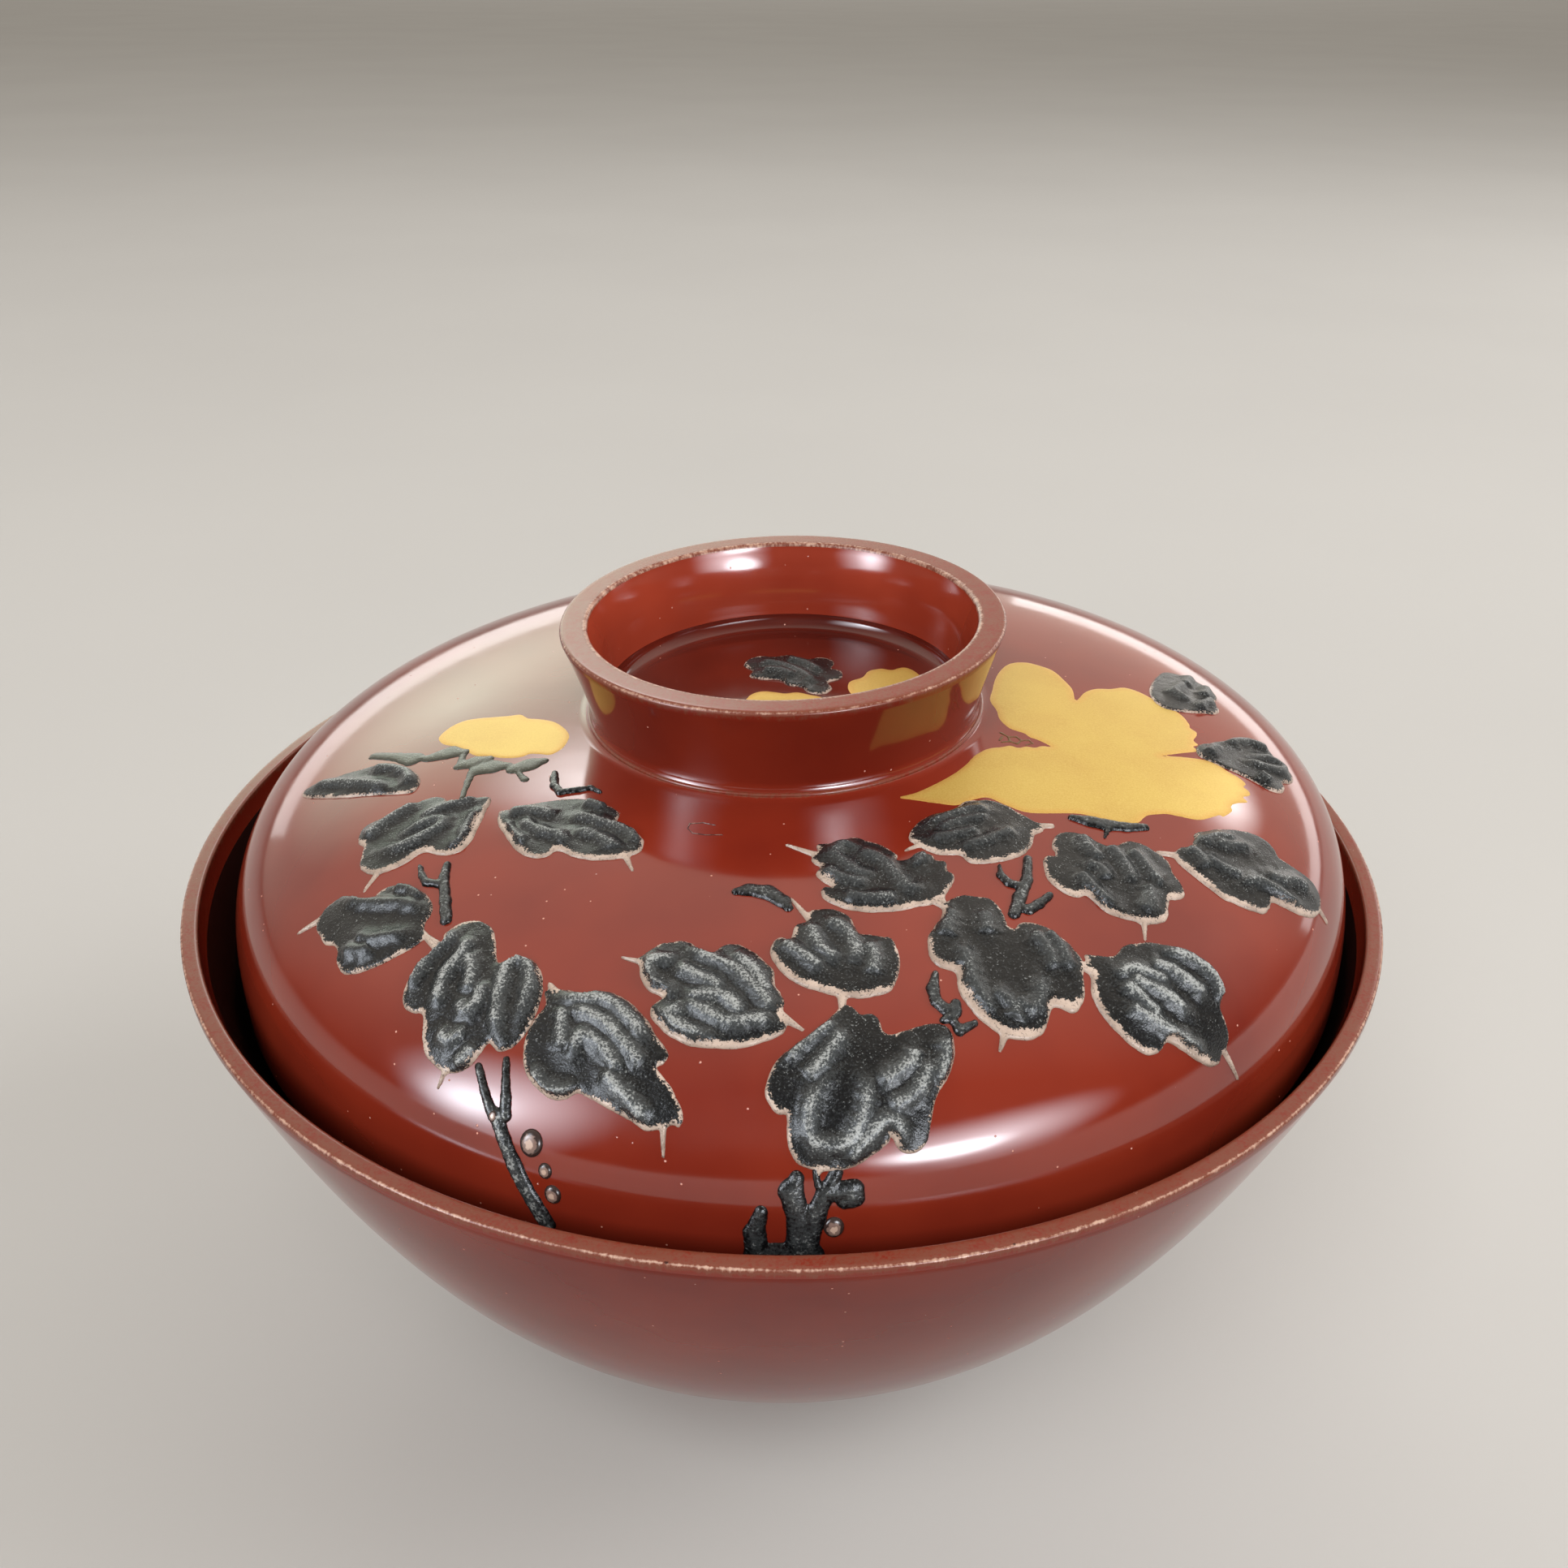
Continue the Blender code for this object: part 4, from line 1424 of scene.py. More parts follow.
def spray_leaves() -> list[Leaf]:
    """The leaves of the spray, from left to right, then the far ones and the ring floor's."""
    return [
        Leaf(
            "leaf_far_left", -163.4, 44, 0.8,
            "-49,73 -46,54 -40,33 -36,15 -32,-1 -22,-19 -6,-34 17,-45 36,-44 47,-34 44,-24 35,-10 "
            "22,11 7,34 -11,55 -28,72 -41,80",
            "-24,0 -8,-20 13,-35 36,-34 / -40,64 -20,36 3,9 27,-14",
            bare=(0, 1), border=(0.085, 0.24),
        ),
        Leaf(
            "leaf_left_upper", -146.9, 41.3, 0.88,
            "2,-69 18,-57 38,-39 56,-21 63,-7 60,4 52,11 41,15 37,22 39,38 36,52 29,65 16,71 2,70 "
            "-10,63 -19,58 -32,60 -42,56 -50,47 -49,31 -46,9 -44,-12 -41,-25 -32,-32 -19,-34 "
            "-11,-44 -7,-59",
            "-1,-55 -8,-41 -11,-23 -11,-1 / 1,27 0,6 3,-11 11,-16 18,-7 19,13 16,32 4,48 / -40,-7 "
            "-37,16 -32,38 -29,52 / 18,-48 36,-32 52,-16 58,-1",
            "260,560,34 420,830,11",
            bare=(1, 0.3), border=(0.17, 0.6),
        ),
        Leaf(
            "leaf_left_by_ring", -128.1, 32.4, 0.82,
            "-77,32 -81,24 -75,13 -68,0 -59,-11 -48,-24 -37,-35 -23,-44 -7,-47 9,-48 20,-44 "
            "26,-35 32,-30 52,-27 68,-19 76,-9 79,0 74,11 63,20 49,27 32,30 18,29 11,32 10,41 "
            "2,49 -11,51 -28,49 -46,43 -64,38",
            "-69,22 -59,9 -42,-1 -25,-6 / -51,19 -30,21 -9,18 -1,15 15,19 / -14,-13 2,-19 24,-21 "
            "45,-22 63,-16 70,-7 / 6,2 27,-2 41,1 54,3 60,8 / -59,32 -41,39 -19,39 / -18,-38 "
            "6,-41",
            "660,40,34 930,260,11 / -760,210,34 -820,250,16",
            bare=(0.4, 1), border=(0.14, 0.48),
        ),
        Leaf(
            "leaf_left_lower", -137.8, 51.9, 0.5,
            "-53,20 -56,11 -53,-1 -50,-8 -37,-15 -19,-22 -20,-32 -16,-44 -1,-54 15,-58 30,-57 "
            "43,-51 50,-44 53,-36 60,-29 67,-26 68,-14 62,2 52,20 38,35 23,42 9,38 2,32 -9,29 "
            "-19,34 -34,32 -46,30",
            "-41,-8 -19,-16 2,-28 20,-39 41,-42 / -7,-44 9,-51 29,-52 / 9,9 22,6 32,0 52,-18 / "
            "9,27 20,20 30,15 32,9",
            "-500,220,34 -640,460,11 / 560,-250,34 840,-250,24",
            bare=(-0.3, 0.6), border=(0.1, 0.24),
        ),
        Leaf(
            "leaf_folded_left", -120.3, 52.1, 1.0,
            "-63,-29 -66,-36 -63,-46 -58,-54 -51,-60 -41,-63 -31,-62 -21,-57 -10,-45 1,-33 9,-40 "
            "16,-45 26,-46 37,-42 49,-31 58,-16 63,2 64,16 59,32 49,39 37,35 34,45 29,58 19,66 "
            "6,69 -7,66 -18,60 -26,50 -32,39 -38,33 -46,36 -58,35 -65,28 -69,15 -70,-1 -66,-16",
            "-52,-46 -58,-25 -63,-1 -61,20 / -36,-44 -33,-23 -34,-1 -24,25 / -29,-29 -13,-16 -4,3 "
            "/ -7,9 3,18 9,6 2,-11 / 54,15 49,-5 40,-28 29,-40 18,-41 14,-32 20,-12 29,6 38,20 "
            "49,31 / -11,40 2,44 10,37 15,35 / 18,59 25,52 28,41",
            "100,580,34 70,830,11 / -620,-220,34 -860,-270,24",
            bare=(-1, 0.5), border=(0.14, 0.44),
        ),
        Leaf(
            "leaf_wide_left", -106, 53.2, 1.0,
            "-66,-31 -62,-34 -55,-34 -50,-38 -34,-39 -19,-44 -9,-44 4,-41 16,-34 29,-24 41,-11 "
            "54,2 52,11 48,15 56,22 66,32 74,43 78,52 76,59 70,58 58,63 49,64 38,59 18,52 2,47 "
            "-10,44 -21,51 -32,53 -46,48 -59,38 -66,24 -68,9 -66,-5 -61,-18 -63,-25",
            "-51,-26 -28,-32 -7,-34 15,-22 36,-3 / -39,-22 -14,-19 8,-8 29,9 37,14 / -22,20 -22,2 "
            "-14,-1 -1,4 13,15 22,22 / 6,24 27,38 52,56 / -44,-21 -38,-3 -32,13 / -55,32 -41,44 "
            "-25,46 -11,40",
            "-640,-390,24 -540,-300,64 / 620,500,34 670,830,11",
            bare=(-0.8, 1), border=(0.1, 0.34),
        ),
        Leaf(
            "leaf_middle", -97.4, 47.1, 1.0,
            "-65,-20 -60,-28 -54,-35 -49,-40 -42,-42 -34,-45 -23,-44 -14,-37 -9,-35 -3,-36 4,-44 "
            "11,-46 19,-45 31,-38 43,-26 50,-18 53,-3 58,4 62,13 61,22 62,28 66,36 63,43 50,49 "
            "31,55 11,56 -9,55 -25,49 -37,41 -44,34 -46,25 -41,18 -38,15 -41,13 -51,9 -59,0 "
            "-63,-11",
            "-26,-37 -7,-28 16,-18 32,-3 47,13 52,25 / -30,-25 -41,-22 -51,-19 -55,-11 -52,0 "
            "-44,6 -21,11 / -32,-16 -14,-9 4,-1 9,6 / -21,14 -5,11 11,10 24,20 31,27 / -19,16 "
            "-5,24 18,34 38,32 56,30 / -14,25 -29,29 -29,34 -16,42 13,48 / 13,-34 27,-23 40,-7 "
            "49,9",
            "-580,-180,34 -800,-190,11 / 580,240,48 800,390,13",
            bare=(-0.3, 1), border=(0.12, 0.48),
        ),
        Leaf(
            "leaf_upper_middle", -84, 43.4, 0.95,
            "-20,-42 -22,-36 -31,-32 -34,-28 -39,-16 -46,-18 -53,-13 -57,-2 -54,11 -48,22 -41,30 "
            "-28,38 -11,45 4,49 11,51 22,50 35,48 43,39 49,24 50,8 47,-6 39,-10 30,-14 21,-16 "
            "18,-25 14,-39 2,-48 -16,-49",
            "-19,-30 -19,-16 -14,-1 0,15 / -8,-29 2,-28 10,-16 14,2 11,20 / -46,-10 -34,2 -15,22 "
            "/ 25,-3 29,13 24,31",
            "-20,420,48 -50,620,24 / -200,-400,34 -320,-650,13",
            bare=(-0.6, 1), border=(0.14, 0.58),
        ),
        Leaf(
            "leaf_low_middle", -83.6, 54.7, 1.0,
            "-73,27 -77,18 -76,9 -68,-8 -55,-20 -41,-30 -26,-41 -14,-51 -9,-57 -1,-56 6,-48 "
            "15,-47 20,-41 22,-31 29,-27 49,-30 64,-31 74,-26 78,-16 76,-1 70,13 60,24 55,32 "
            "52,41 49,52 45,62 36,68 27,67 21,61 18,52 15,58 2,66 -14,74 -32,76 -46,74 -57,68 "
            "-62,58 -63,45 -62,32 -68,31",
            "-16,-42 -37,-28 -59,-11 / -9,-35 -23,-16 -35,-3 -44,4 / -19,-2 -39,18 -45,34 -45,49 "
            "-34,55 -16,53 -5,38 3,18 -1,6 / 11,13 38,0 45,-11 / 18,30 32,27 47,16 56,0 / -18,59 "
            "-11,60 9,43 19,40 24,45 22,61 / 70,-16 69,-1 59,20",
            "-340,600,34 -430,800,20",
            bare=(-0.6, 0.9), border=(0.085, 0.36),
        ),
        Leaf(
            "leaf_ring_right", -76, 35.1, 0.76,
            "-42,-56 -44,-47 -52,-37 -51,-28 -48,-23 -54,-14 -51,-4 -45,6 -51,5 -56,10 -55,22 "
            "-46,31 -38,37 -23,42 -7,45 5,46 20,45 34,46 44,43 52,36 63,24 65,16 62,10 64,-1 "
            "56,-7 56,-13 47,-20 38,-20 31,-16 22,-19 24,-26 16,-42 4,-53 -3,-60 -11,-61 -25,-56 "
            "-35,-57",
            "-6,-36 -18,-48 -28,-42 -31,-34 -23,-16 -16,-5 -4,-3 / -11,-32 -2,-30 9,-16 14,6 "
            "19,24 32,24 / -44,-19 -39,-7 -30,1 -13,9 / -39,21 -19,28 6,32 / 39,-2 39,-11 49,-11",
            "-440,-400,41 -690,-590,13 / 430,360,41 450,520,24",
            bare=(-0.5, 0.8), border=(0.12, 0.48),
        ),
        Leaf(
            "leaf_tall_middle", -67, 47.5, 0.72,
            "-19,-76 0,-80 11,-74 22,-67 25,-51 21,-34 25,-28 32,-32 44,-27 53,-18 61,1 64,15 "
            "64,28 58,36 50,52 42,59 32,63 18,53 2,69 -6,72 -14,73 -20,71 -33,65 -46,46 -51,25 "
            "-50,12 -46,-1 -56,-10 -58,-23 -52,-39 -41,-51 -31,-59 -24,-68",
            "9,-51 3,-42 -2,-28 / -28,-26 -34,-3 -37,20 -34,45 / -26,24 -16,43 -21,54 / -11,36 "
            "-9,42 -1,49 11,41 18,23 / 35,-18 38,2 35,24 / 47,-14 51,6 48,29 / -18,-66 -28,-51 "
            "-37,-37",
            "-300,600,41 -420,750,13 / -180,-700,34 -300,-860,24",
            bare=(-0.7, 1), border=(0.17, 0.76),
        ),
        Leaf(
            "leaf_under_gold", -57.1, 32.2, 0.6,
            "-59,-14 -53,-23 -46,-29 -34,-36 -22,-39 -9,-36 2,-35 14,-39 23,-41 32,-37 42,-31 "
            "50,-20 54,-7 56,6 59,20 60,32 56,37 46,36 34,45 17,51 -1,50 -25,43 -33,36 -34,24 "
            "-48,17 -53,11 -57,-1",
            "-27,-11 -13,-16 13,-10 18,-5 / -44,-4 -23,0 2,5 / -30,-25 -9,-27 13,-25 31,-14 / "
            "-28,18 2,21 31,21",
            "-500,-50,34 -720,-10,11 / 540,260,41 700,370,28",
            bare=(-0.4, 0.9), border=(0.12, 0.4),
        ),
        Leaf(
            "leaf_right_upper", -46.8, 44, 0.7,
            "-19,-61 -4,-69 11,-64 18,-51 20,-37 24,-26 32,-24 45,-20 52,-11 55,2 54,20 45,32 "
            "41,42 34,52 28,54 20,52 13,49 -4,60 -14,61 -31,53 -35,47 -45,35 -49,24 -47,4 -51,2 "
            "-56,1 -60,-4 -62,-16 -59,-30 -46,-47 -36,-54 -29,-49 -24,-53",
            "11,-51 4,-41 -3,-18 / 20,-28 16,-14 9,2 -4,18 / -18,-25 -13,-11 -19,2 / 30,-11 30,0 "
            "21,24 22,35 / -34,-19 -35,-9 -40,6 -41,27 / -23,45 -1,36 6,26",
            "-240,480,34 -430,660,11",
            bare=(-0.7, 0.8), border=(0.12, 0.5),
        ),
        Leaf(
            "leaf_far_right", -32.3, 52, 0.75,
            "-56,-51 -50,-59 -41,-62 -33,-61 -25,-55 -11,-56 -1,-59 13,-51 27,-41 41,-26 50,-11 "
            "52,2 47,13 42,18 45,31 51,47 54,61 47,74 32,79 18,77 2,66 -12,49 -22,34 -33,35 "
            "-42,34 -47,31 -55,21 -61,8 -65,-4 -62,-29",
            "-35,-55 -34,-46 -44,-28 / -31,-40 -32,-21 -26,-1 / -16,-48 2,-44 14,-32 16,-25 / "
            "-3,-40 4,-28 21,-11 / -37,-1 -20,8 -11,22 -5,41 1,55 / 0,14 9,28 25,40 34,58",
            "320,660,34 370,950,11 / -440,-560,41 -560,-720,28",
            bare=(-1, 0.6), border=(0.12, 0.58),
        ),
        Leaf(
            "leaf_low_right", -53.5, 55.8, 1.05,
            "-57,-52 -49,-59 -46,-64 -39,-60 -22,-52 -7,-56 13,-50 28,-40 43,-26 54,-10 56,6 "
            "52,20 41,29 40,38 39,47 36,56 30,62 23,64 18,70 9,69 -3,60 -23,36 -31,32 -40,36 "
            "-52,33 -61,23 -68,6 -71,-10 -70,-19 -66,-31 -56,-45",
            "-39,-33 -21,-35 -10,-25 4,-9 / -37,-28 -31,-9 -26,11 / -26,-30 -20,-18 -9,-5 4,20 / "
            "-1,-30 13,-18 31,16 / 16,-37 36,-21 48,0 48,15 40,25 / -44,-9 -39,2 -19,29 1,56",
            "240,540,34 400,960,11 / -500,-460,48 -600,-660,32",
            bare=(-1, 0.5), border=(0.12, 0.58),
        ),
        Leaf(
            "leaf_behind_gold", 6.3, 45.5, 0.6,
            "-51,-44 -39,-51 -25,-52 -5,-48 15,-37 32,-25 47,-11 49,2 44,16 34,28 20,36 6,38 "
            "-8,32 -21,24 -35,26 -47,18 -51,2 -55,-16 -55,-32",
            "-34,-10 -15,-23 4,-9 13,-6 / -48,-3 -35,5 -28,15 -18,17 / -13,13 -1,20 15,26 / 8,-3 "
            "36,16",
            bare=(0, 1), border=(0.085, 0.24),
        ),
        Leaf(
            "leaf_beside_gold", -10.4, 50.2, 0.6,
            "-28,-60 -16,-66 -3,-63 9,-50 27,-30 45,-11 53,2 50,16 38,24 28,32 16,43 4,45 -7,40 "
            "-18,29 -28,31 -41,25 -46,13 -41,-9 -36,-34",
            "-22,-13 -13,-7 -9,9 -1,24 9,30 14,23 13,11 1,-11 / 13,-32 34,-8 38,18 / -22,-55 "
            "-2,-44 / -35,13 -28,-1",
            bare=(0, 1), border=(0.085, 0.24),
        ),
        Leaf(
            "leaf_on_ring_floor", 0, 0, 0.5,
            "-42,96 -46,82 -36,68 -39,54 -24,46 -6,44 4,30 19,24 26,10 42,6 52,19 48,34 62,44 "
            "64,60 52,70 56,86 42,98 22,94 8,106 -12,102 -28,105",
            "-30,84 -4,74 20,52 32,24 / 2,90 24,76 40,54 / -26,62 -4,58 12,44",
            border=(0.085, 0.24), chart=Chart.RING_FLOOR, step=0.22,
        ),
    ]


@dataclass
class Twig(Drawing):
    """A raised twig or thin line of strokes, with no ground showing.

    Attributes:
        marks: Its strokes, hundredths of a drawn millimetre.
        step: Spacing of its grid, drawn millimetres.
        height: Height of its middle, metres.
        rubbed_and_highlit: How far its top is painted greyer and flecked, as highlight and glints,
            from 0 to about 1.
        flank: Share of its widest half width over which it rises.
        joint: Most softness of the joints between strokes, drawn millimetres.
    """

    marks: str
    step: float = 0.13
    height: float = 0.00042
    rubbed_and_highlit: float = 0.75
    flank: float = 0.8
    joint: float = 0.25

    def draw(self) -> Field:
        """Draws the twig on a grid.

        Returns:
            Its depth, its lift and its marks for the finish.
        """
        marks = strokes(self.marks)
        spots = np.array([((s.x, s.y), (s.to_x, s.to_y)) for s in marks]).reshape(-1, 2)
        widest = float(max(max(s.half, s.to_half) for s in marks))
        margin = widest + 0.5
        x, y = grid(spots.min(0) - margin, spots.max(0) + margin, self.step)
        uneven = min(0.05, 0.2 * widest) * waver(2 * x, 2 * y, self.bearing)
        depth = melt([s.depth(x, y) for s in marks], min(self.joint, widest)) + uneven
        rise = bulge(depth, widest * self.flank)
        # Painted highlight: this mark rises along the twig's top, where it stands highest.
        ridge = np.clip(rise * 1.5 - 0.7 + 0.35 * waver(2.2 * x, 2.2 * y, self.down), 0, 1)
        covered = np.full(x.shape, MM)
        stored = {"cover": covered, "ridge": ridge * self.rubbed_and_highlit, "depth": depth * MM}
        return Field(x, y, depth, self.height * rise, stored)


def spray_twigs() -> list[Twig]:
    """The twigs and commas between the leaves."""
    return [
        Twig(
            "twig_forked", -112.0, 61.0,
            "-440,-340,36 -200,0,50 / -215,-460,32 -120,-180,46 / -120,-180,48 -90,-40,58 / "
            "-170,-20,60 40,340,72 320,840,80",
            rubbed_and_highlit=1.0,
        ),
        Twig(
            "twig_comma", -93.2, 36.1,
            "-220,-10,42 -110,-40,72 / -110,-40,74 60,-10,86 200,110,70 / 200,110,68 250,190,46",
        ),
        Twig(
            "twig_left", -135.0, 45.4,
            "-150,-280,40 -30,-160,50 250,30,54 450,180,56 / -360,-100,26 -250,-50,34 -120,-20,42 "
            "10,-80,46",
        ),
        Twig(
            "twig_crossed", -59.0, 40.9,
            "290,-290,44 100,-70,54 -100,80,60 -270,230,56 / 0,-340,16 -70,-230,36 / -70,-230,38 "
            "-70,-110,44 -10,-40,44 / -130,240,54 0,220,48 160,180,38",
        ),
        Twig(
            "twig_hooked", -74.1, 49.8,
            "-40,-260,32 -110,-130,52 / -110,-130,54 -120,0,52 / -120,0,50 -70,80,52 / -70,80,50 "
            "0,110,52 / 0,110,50 30,50,46 / -120,170,36 -30,150,42 / -40,200,36 -20,280,46 "
            "120,250,32",
        ),
        Twig(
            "twig_coral", -86.6, 63.0,
            "-560,260,56 -620,460,86 / -620,460,90 -590,760,110 / -590,700,130 -220,700,150 / "
            "-270,-30,60 -320,80,100 -270,340,92 -260,700,130 / 40,-60,52 -40,80,70 -140,300,90 "
            "-230,600,110 / -40,110,80 160,90,86 170,160,84 / 170,160,80 100,190,70 / "
            "-130,-200,24 -110,40,30",
        ),
        Twig(
            "twig_under_gold", -38.9, 39.9,
            "-190,-350,40 -120,-200,76 / -120,-200,78 -60,-70,80 60,90,62 200,220,44 / -240,30,12 "
            "-160,0,20 -70,-30,30",
        ),
        Twig(
            "twig_curl_by_ring", -149.0, 29.2,
            "130,-170,36 220,-120,42 340,-60,42 500,-30,40 / 500,-30,38 570,-180,34 / 570,-180,32 "
            "610,-280,28 730,-290,22",
        ),
    ]


def faded_sprig() -> list[Twig]:
    """The faded sprig under the bud: a chain of small strokes and a stalk."""
    return [
        Twig(
            "twig_beads_left", -149.0, 29.2,
            "-1700,1500,50 -1420,1230,69 / -1420,1230,62 -1200,1050,110 / -1200,1050,50 "
            "-1090,880,50 / -1090,880,75 -1040,690,120 / -1040,690,110 -920,530,62 / -920,530,38 "
            "-680,600,50 / -680,600,75 -640,460,110 / -640,460,100 -600,310,62 / -600,310,38 "
            "-460,460,50 / -460,460,88 -420,310,120 / -420,310,110 -340,170,62 / -340,170,38 "
            "-230,130,50 / -230,130,88 -210,-30,120 / -210,-30,110 -190,-170,62 / -160,120,25 "
            "40,110,45 / -510,500,45 -330,590,40 -70,740,28",
            step=0.16, height=0.00022,
        ),
    ]


def gold_veins() -> list[Twig]:
    """Fine lines of gold on the bare ground between two petals, beside the ring handle."""
    return [
        Twig(
            "gold_veins", 0.0, 0.0,
            "2230,-860,14 2300,-950,12 2300,-1040,14 / 2300,-1040,12 2220,-1060,14 / 2240,-940,10 "
            "2200,-1020,12 / 2300,-950,12 2380,-940,12 2420,-1020,12 2370,-1090,12 2300,-1040,12 "
            "/ 2420,-1020,10 2500,-1010,12 / 2500,-1010,10 2530,-1070,10 2460,-1110,10",
            step=0.07, height=0.00005, chart=Chart.FROM_ABOVE,
        ),
    ]


def stray_hair() -> list[Twig]:
    """A hair dried into the lacquer below the ring handle."""
    return [
        Twig(
            "hair_in_lacquer", -93.2, 36.1,
            "-500,-960,5 -620,-975,5 -750,-930,6 / -750,-930,8 -760,-850,5 -700,-790,5 "
            "-580,-790,5 -420,-820,5",
            step=0.05, height=0.00006,
        ),
    ]


@dataclass
class Drop(Drawing):
    """A small raised bead of lacquer, placed in the drawing of a twig.

    Attributes:
        x: Its place across the drawing, drawn millimetres.
        y: Its place down the drawing.
        radius: Its radius, drawn millimetres.
        raised: Height of what it sits on, metres.
        step: Spacing of its grid, drawn millimetres.
        squash: How much less a step down the drawing counts than one across it.
        flank: Share of its radius over which it rises.
        crown: Its height as a share of its radius.
    """

    x: float
    y: float
    radius: float
    raised: float = 0.0
    step: float = 0.09
    squash: float = 0.85
    flank: float = 0.7
    crown: float = 0.42

    def draw(self) -> Field:
        """Draws the drop on a grid.

        Returns:
            Its depth, its lift and its marks for the finish.
        """
        reach = self.radius + 0.4
        low, high = (self.x - reach, self.y - reach), (self.x + reach, self.y + reach)
        x, y = grid(low, high, self.step)
        depth = self.radius - np.hypot(x - self.x, self.squash * (y - self.y))
        rise = bulge(depth, self.flank * self.radius)
        lift = self.raised + self.crown * self.radius * MM * rise
        return Field(x, y, depth, lift, {"ridge": np.clip(depth / self.radius, 0, 1)})


def lacquer_drops() -> list[Drop]:
    """The drops beside the forked twig and the coral-shaped one."""
    return [
        Drop("drop_at_fork", -112.0, 61.0, -1.8, -0.1, 0.42, 0.0003),
        Drop("drop_large", -112.0, 61.0, 1.8, 1.25, 1.0),
        Drop("drop_small", -112.0, 61.0, 3.2, 3.3, 0.6),
        Drop("drop_lower", -112.0, 61.0, 3.9, 5.3, 0.74),
        Drop("drop_by_coral", -86.6, 63.0, 0.05, 4.2, 0.82),
    ]


@dataclass
class GoldShape(Drawing):
    """A shape in gold powder.

    Attributes:
        outline: Corners of its rounded outline, tenths of a drawn millimetre.
        step: Spacing of its grid; this and the next two are drawn millimetres.
        margin: Room round the drawing.
        edge_slope: Width over which the powder thins out at its edge.
        height: Thickness of the powder, metres.
    """

    outline: str
    step: float = 0.24
    margin: float = 0.8
    edge_slope: float = 0.2
    height: float = 0.00004
    buried: float = field(default=0.0001, kw_only=True)

    def draw(self) -> Field:
        """Draws the shape on a grid.

        Returns:
            Its depth, its lift and its mark for the finish.
        """
        outline = rounded(path(self.outline), True)
        x, y = grid(outline.min(0) - self.margin, outline.max(0) + self.margin, self.step)
        depth = depth_inside(outline, x, y)
        lift = self.height * np.clip(depth / self.edge_slope, 0, 1)
        return Field(x, y, depth, lift, {"depth": depth * MM})


def gold_shapes() -> list[GoldShape]:
    """The blossom, the bud on the left, and the petals on the ring handle's floor."""
    return [
        GoldShape(
            "gold_blossom", 0, 0,
            "110,-214 126,-219 145,-224 164,-227 181,-217 195,-213 209,-224 227,-236 245,-237 "
            "267,-235 282,-235 297,-240 311,-247 324,-247 335,-240 345,-228 358,-223 367,-221 "
            "378,-222 398,-222 420,-208 424,-209 436,-196 437,-188 445,-180 458,-173 455,-166 "
            "464,-159 465,-152 461,-146 465,-139 460,-130 450,-123 441,-112 424,-110 396,-113 "
            "382,-116 402,-106 426,-94 423,-86 430,-80 427,-72 432,-62 435,-52 430,-44 431,-36 "
            "428,-18 419,-2 402,16 389,30 375,36 359,29 342,26 328,15 314,-7 315,21 309,46 301,68 "
            "287,81 272,88 255,83 243,66 234,44 226,11 221,-12 225,-36 226,-57 234,-76 247,-86 "
            "252,-94 260,-100 271,-113 262,-112 254,-116 246,-114 237,-117 229,-113 221,-116 "
            "206,-120 192,-133 180,-153 164,-173 144,-192 126,-206",
            chart=Chart.FROM_ABOVE,
        ),
        GoldShape(
            "gold_bud", -167.8, 30.7,
            "-26,64 -44,54 -53,40 -52,24 -48,8 -44,-10 -42,-22 -30,-31 -22,-46 -10,-60 10,-69 "
            "27,-70 46,-61 56,-51 60,-42 55,-34 51,-25 54,-16 53,-7 48,4 39,15 33,27 18,36 3,47 "
            "-9,59",
        ),
        GoldShape(
            "gold_petal_near", 0, 0,
            "-38,6 -26,16 -12,14 0,10 14,12 26,6 38,0 46,-12 40,-30 20,-44 -6,-48 -30,-38 -44,-18",
            chart=Chart.RING_FLOOR,
        ),
        GoldShape(
            "gold_petal_side", 0, 0,
            "72,36 86,46 94,62 108,68 120,64 134,70 146,58 152,36 146,10 126,-8 100,-14 80,-6 "
            "70,14",
            chart=Chart.RING_FLOOR,
        ),
    ]


@dataclass
class Spray:
    """All that decorates the lid."""

    ground: Ground

    def build(self, finishes: Finishes) -> None:
        """Makes the gold, the leaves, the twigs and the drops.

        Args:
            finishes: All finishes.
        """
        lots = (
            (gold_shapes(), finishes.gold),
            (spray_leaves(), finishes.leaf),
            (spray_twigs(), finishes.stroke),
            (faded_sprig(), finishes.faded),
            (gold_veins(), finishes.dull_gold),
            (stray_hair(), finishes.drop),
            (lacquer_drops(), finishes.drop),
        )
        for drawings, finish in lots:
            for drawing in drawings:
                report(drawing.build(self.ground, finish))


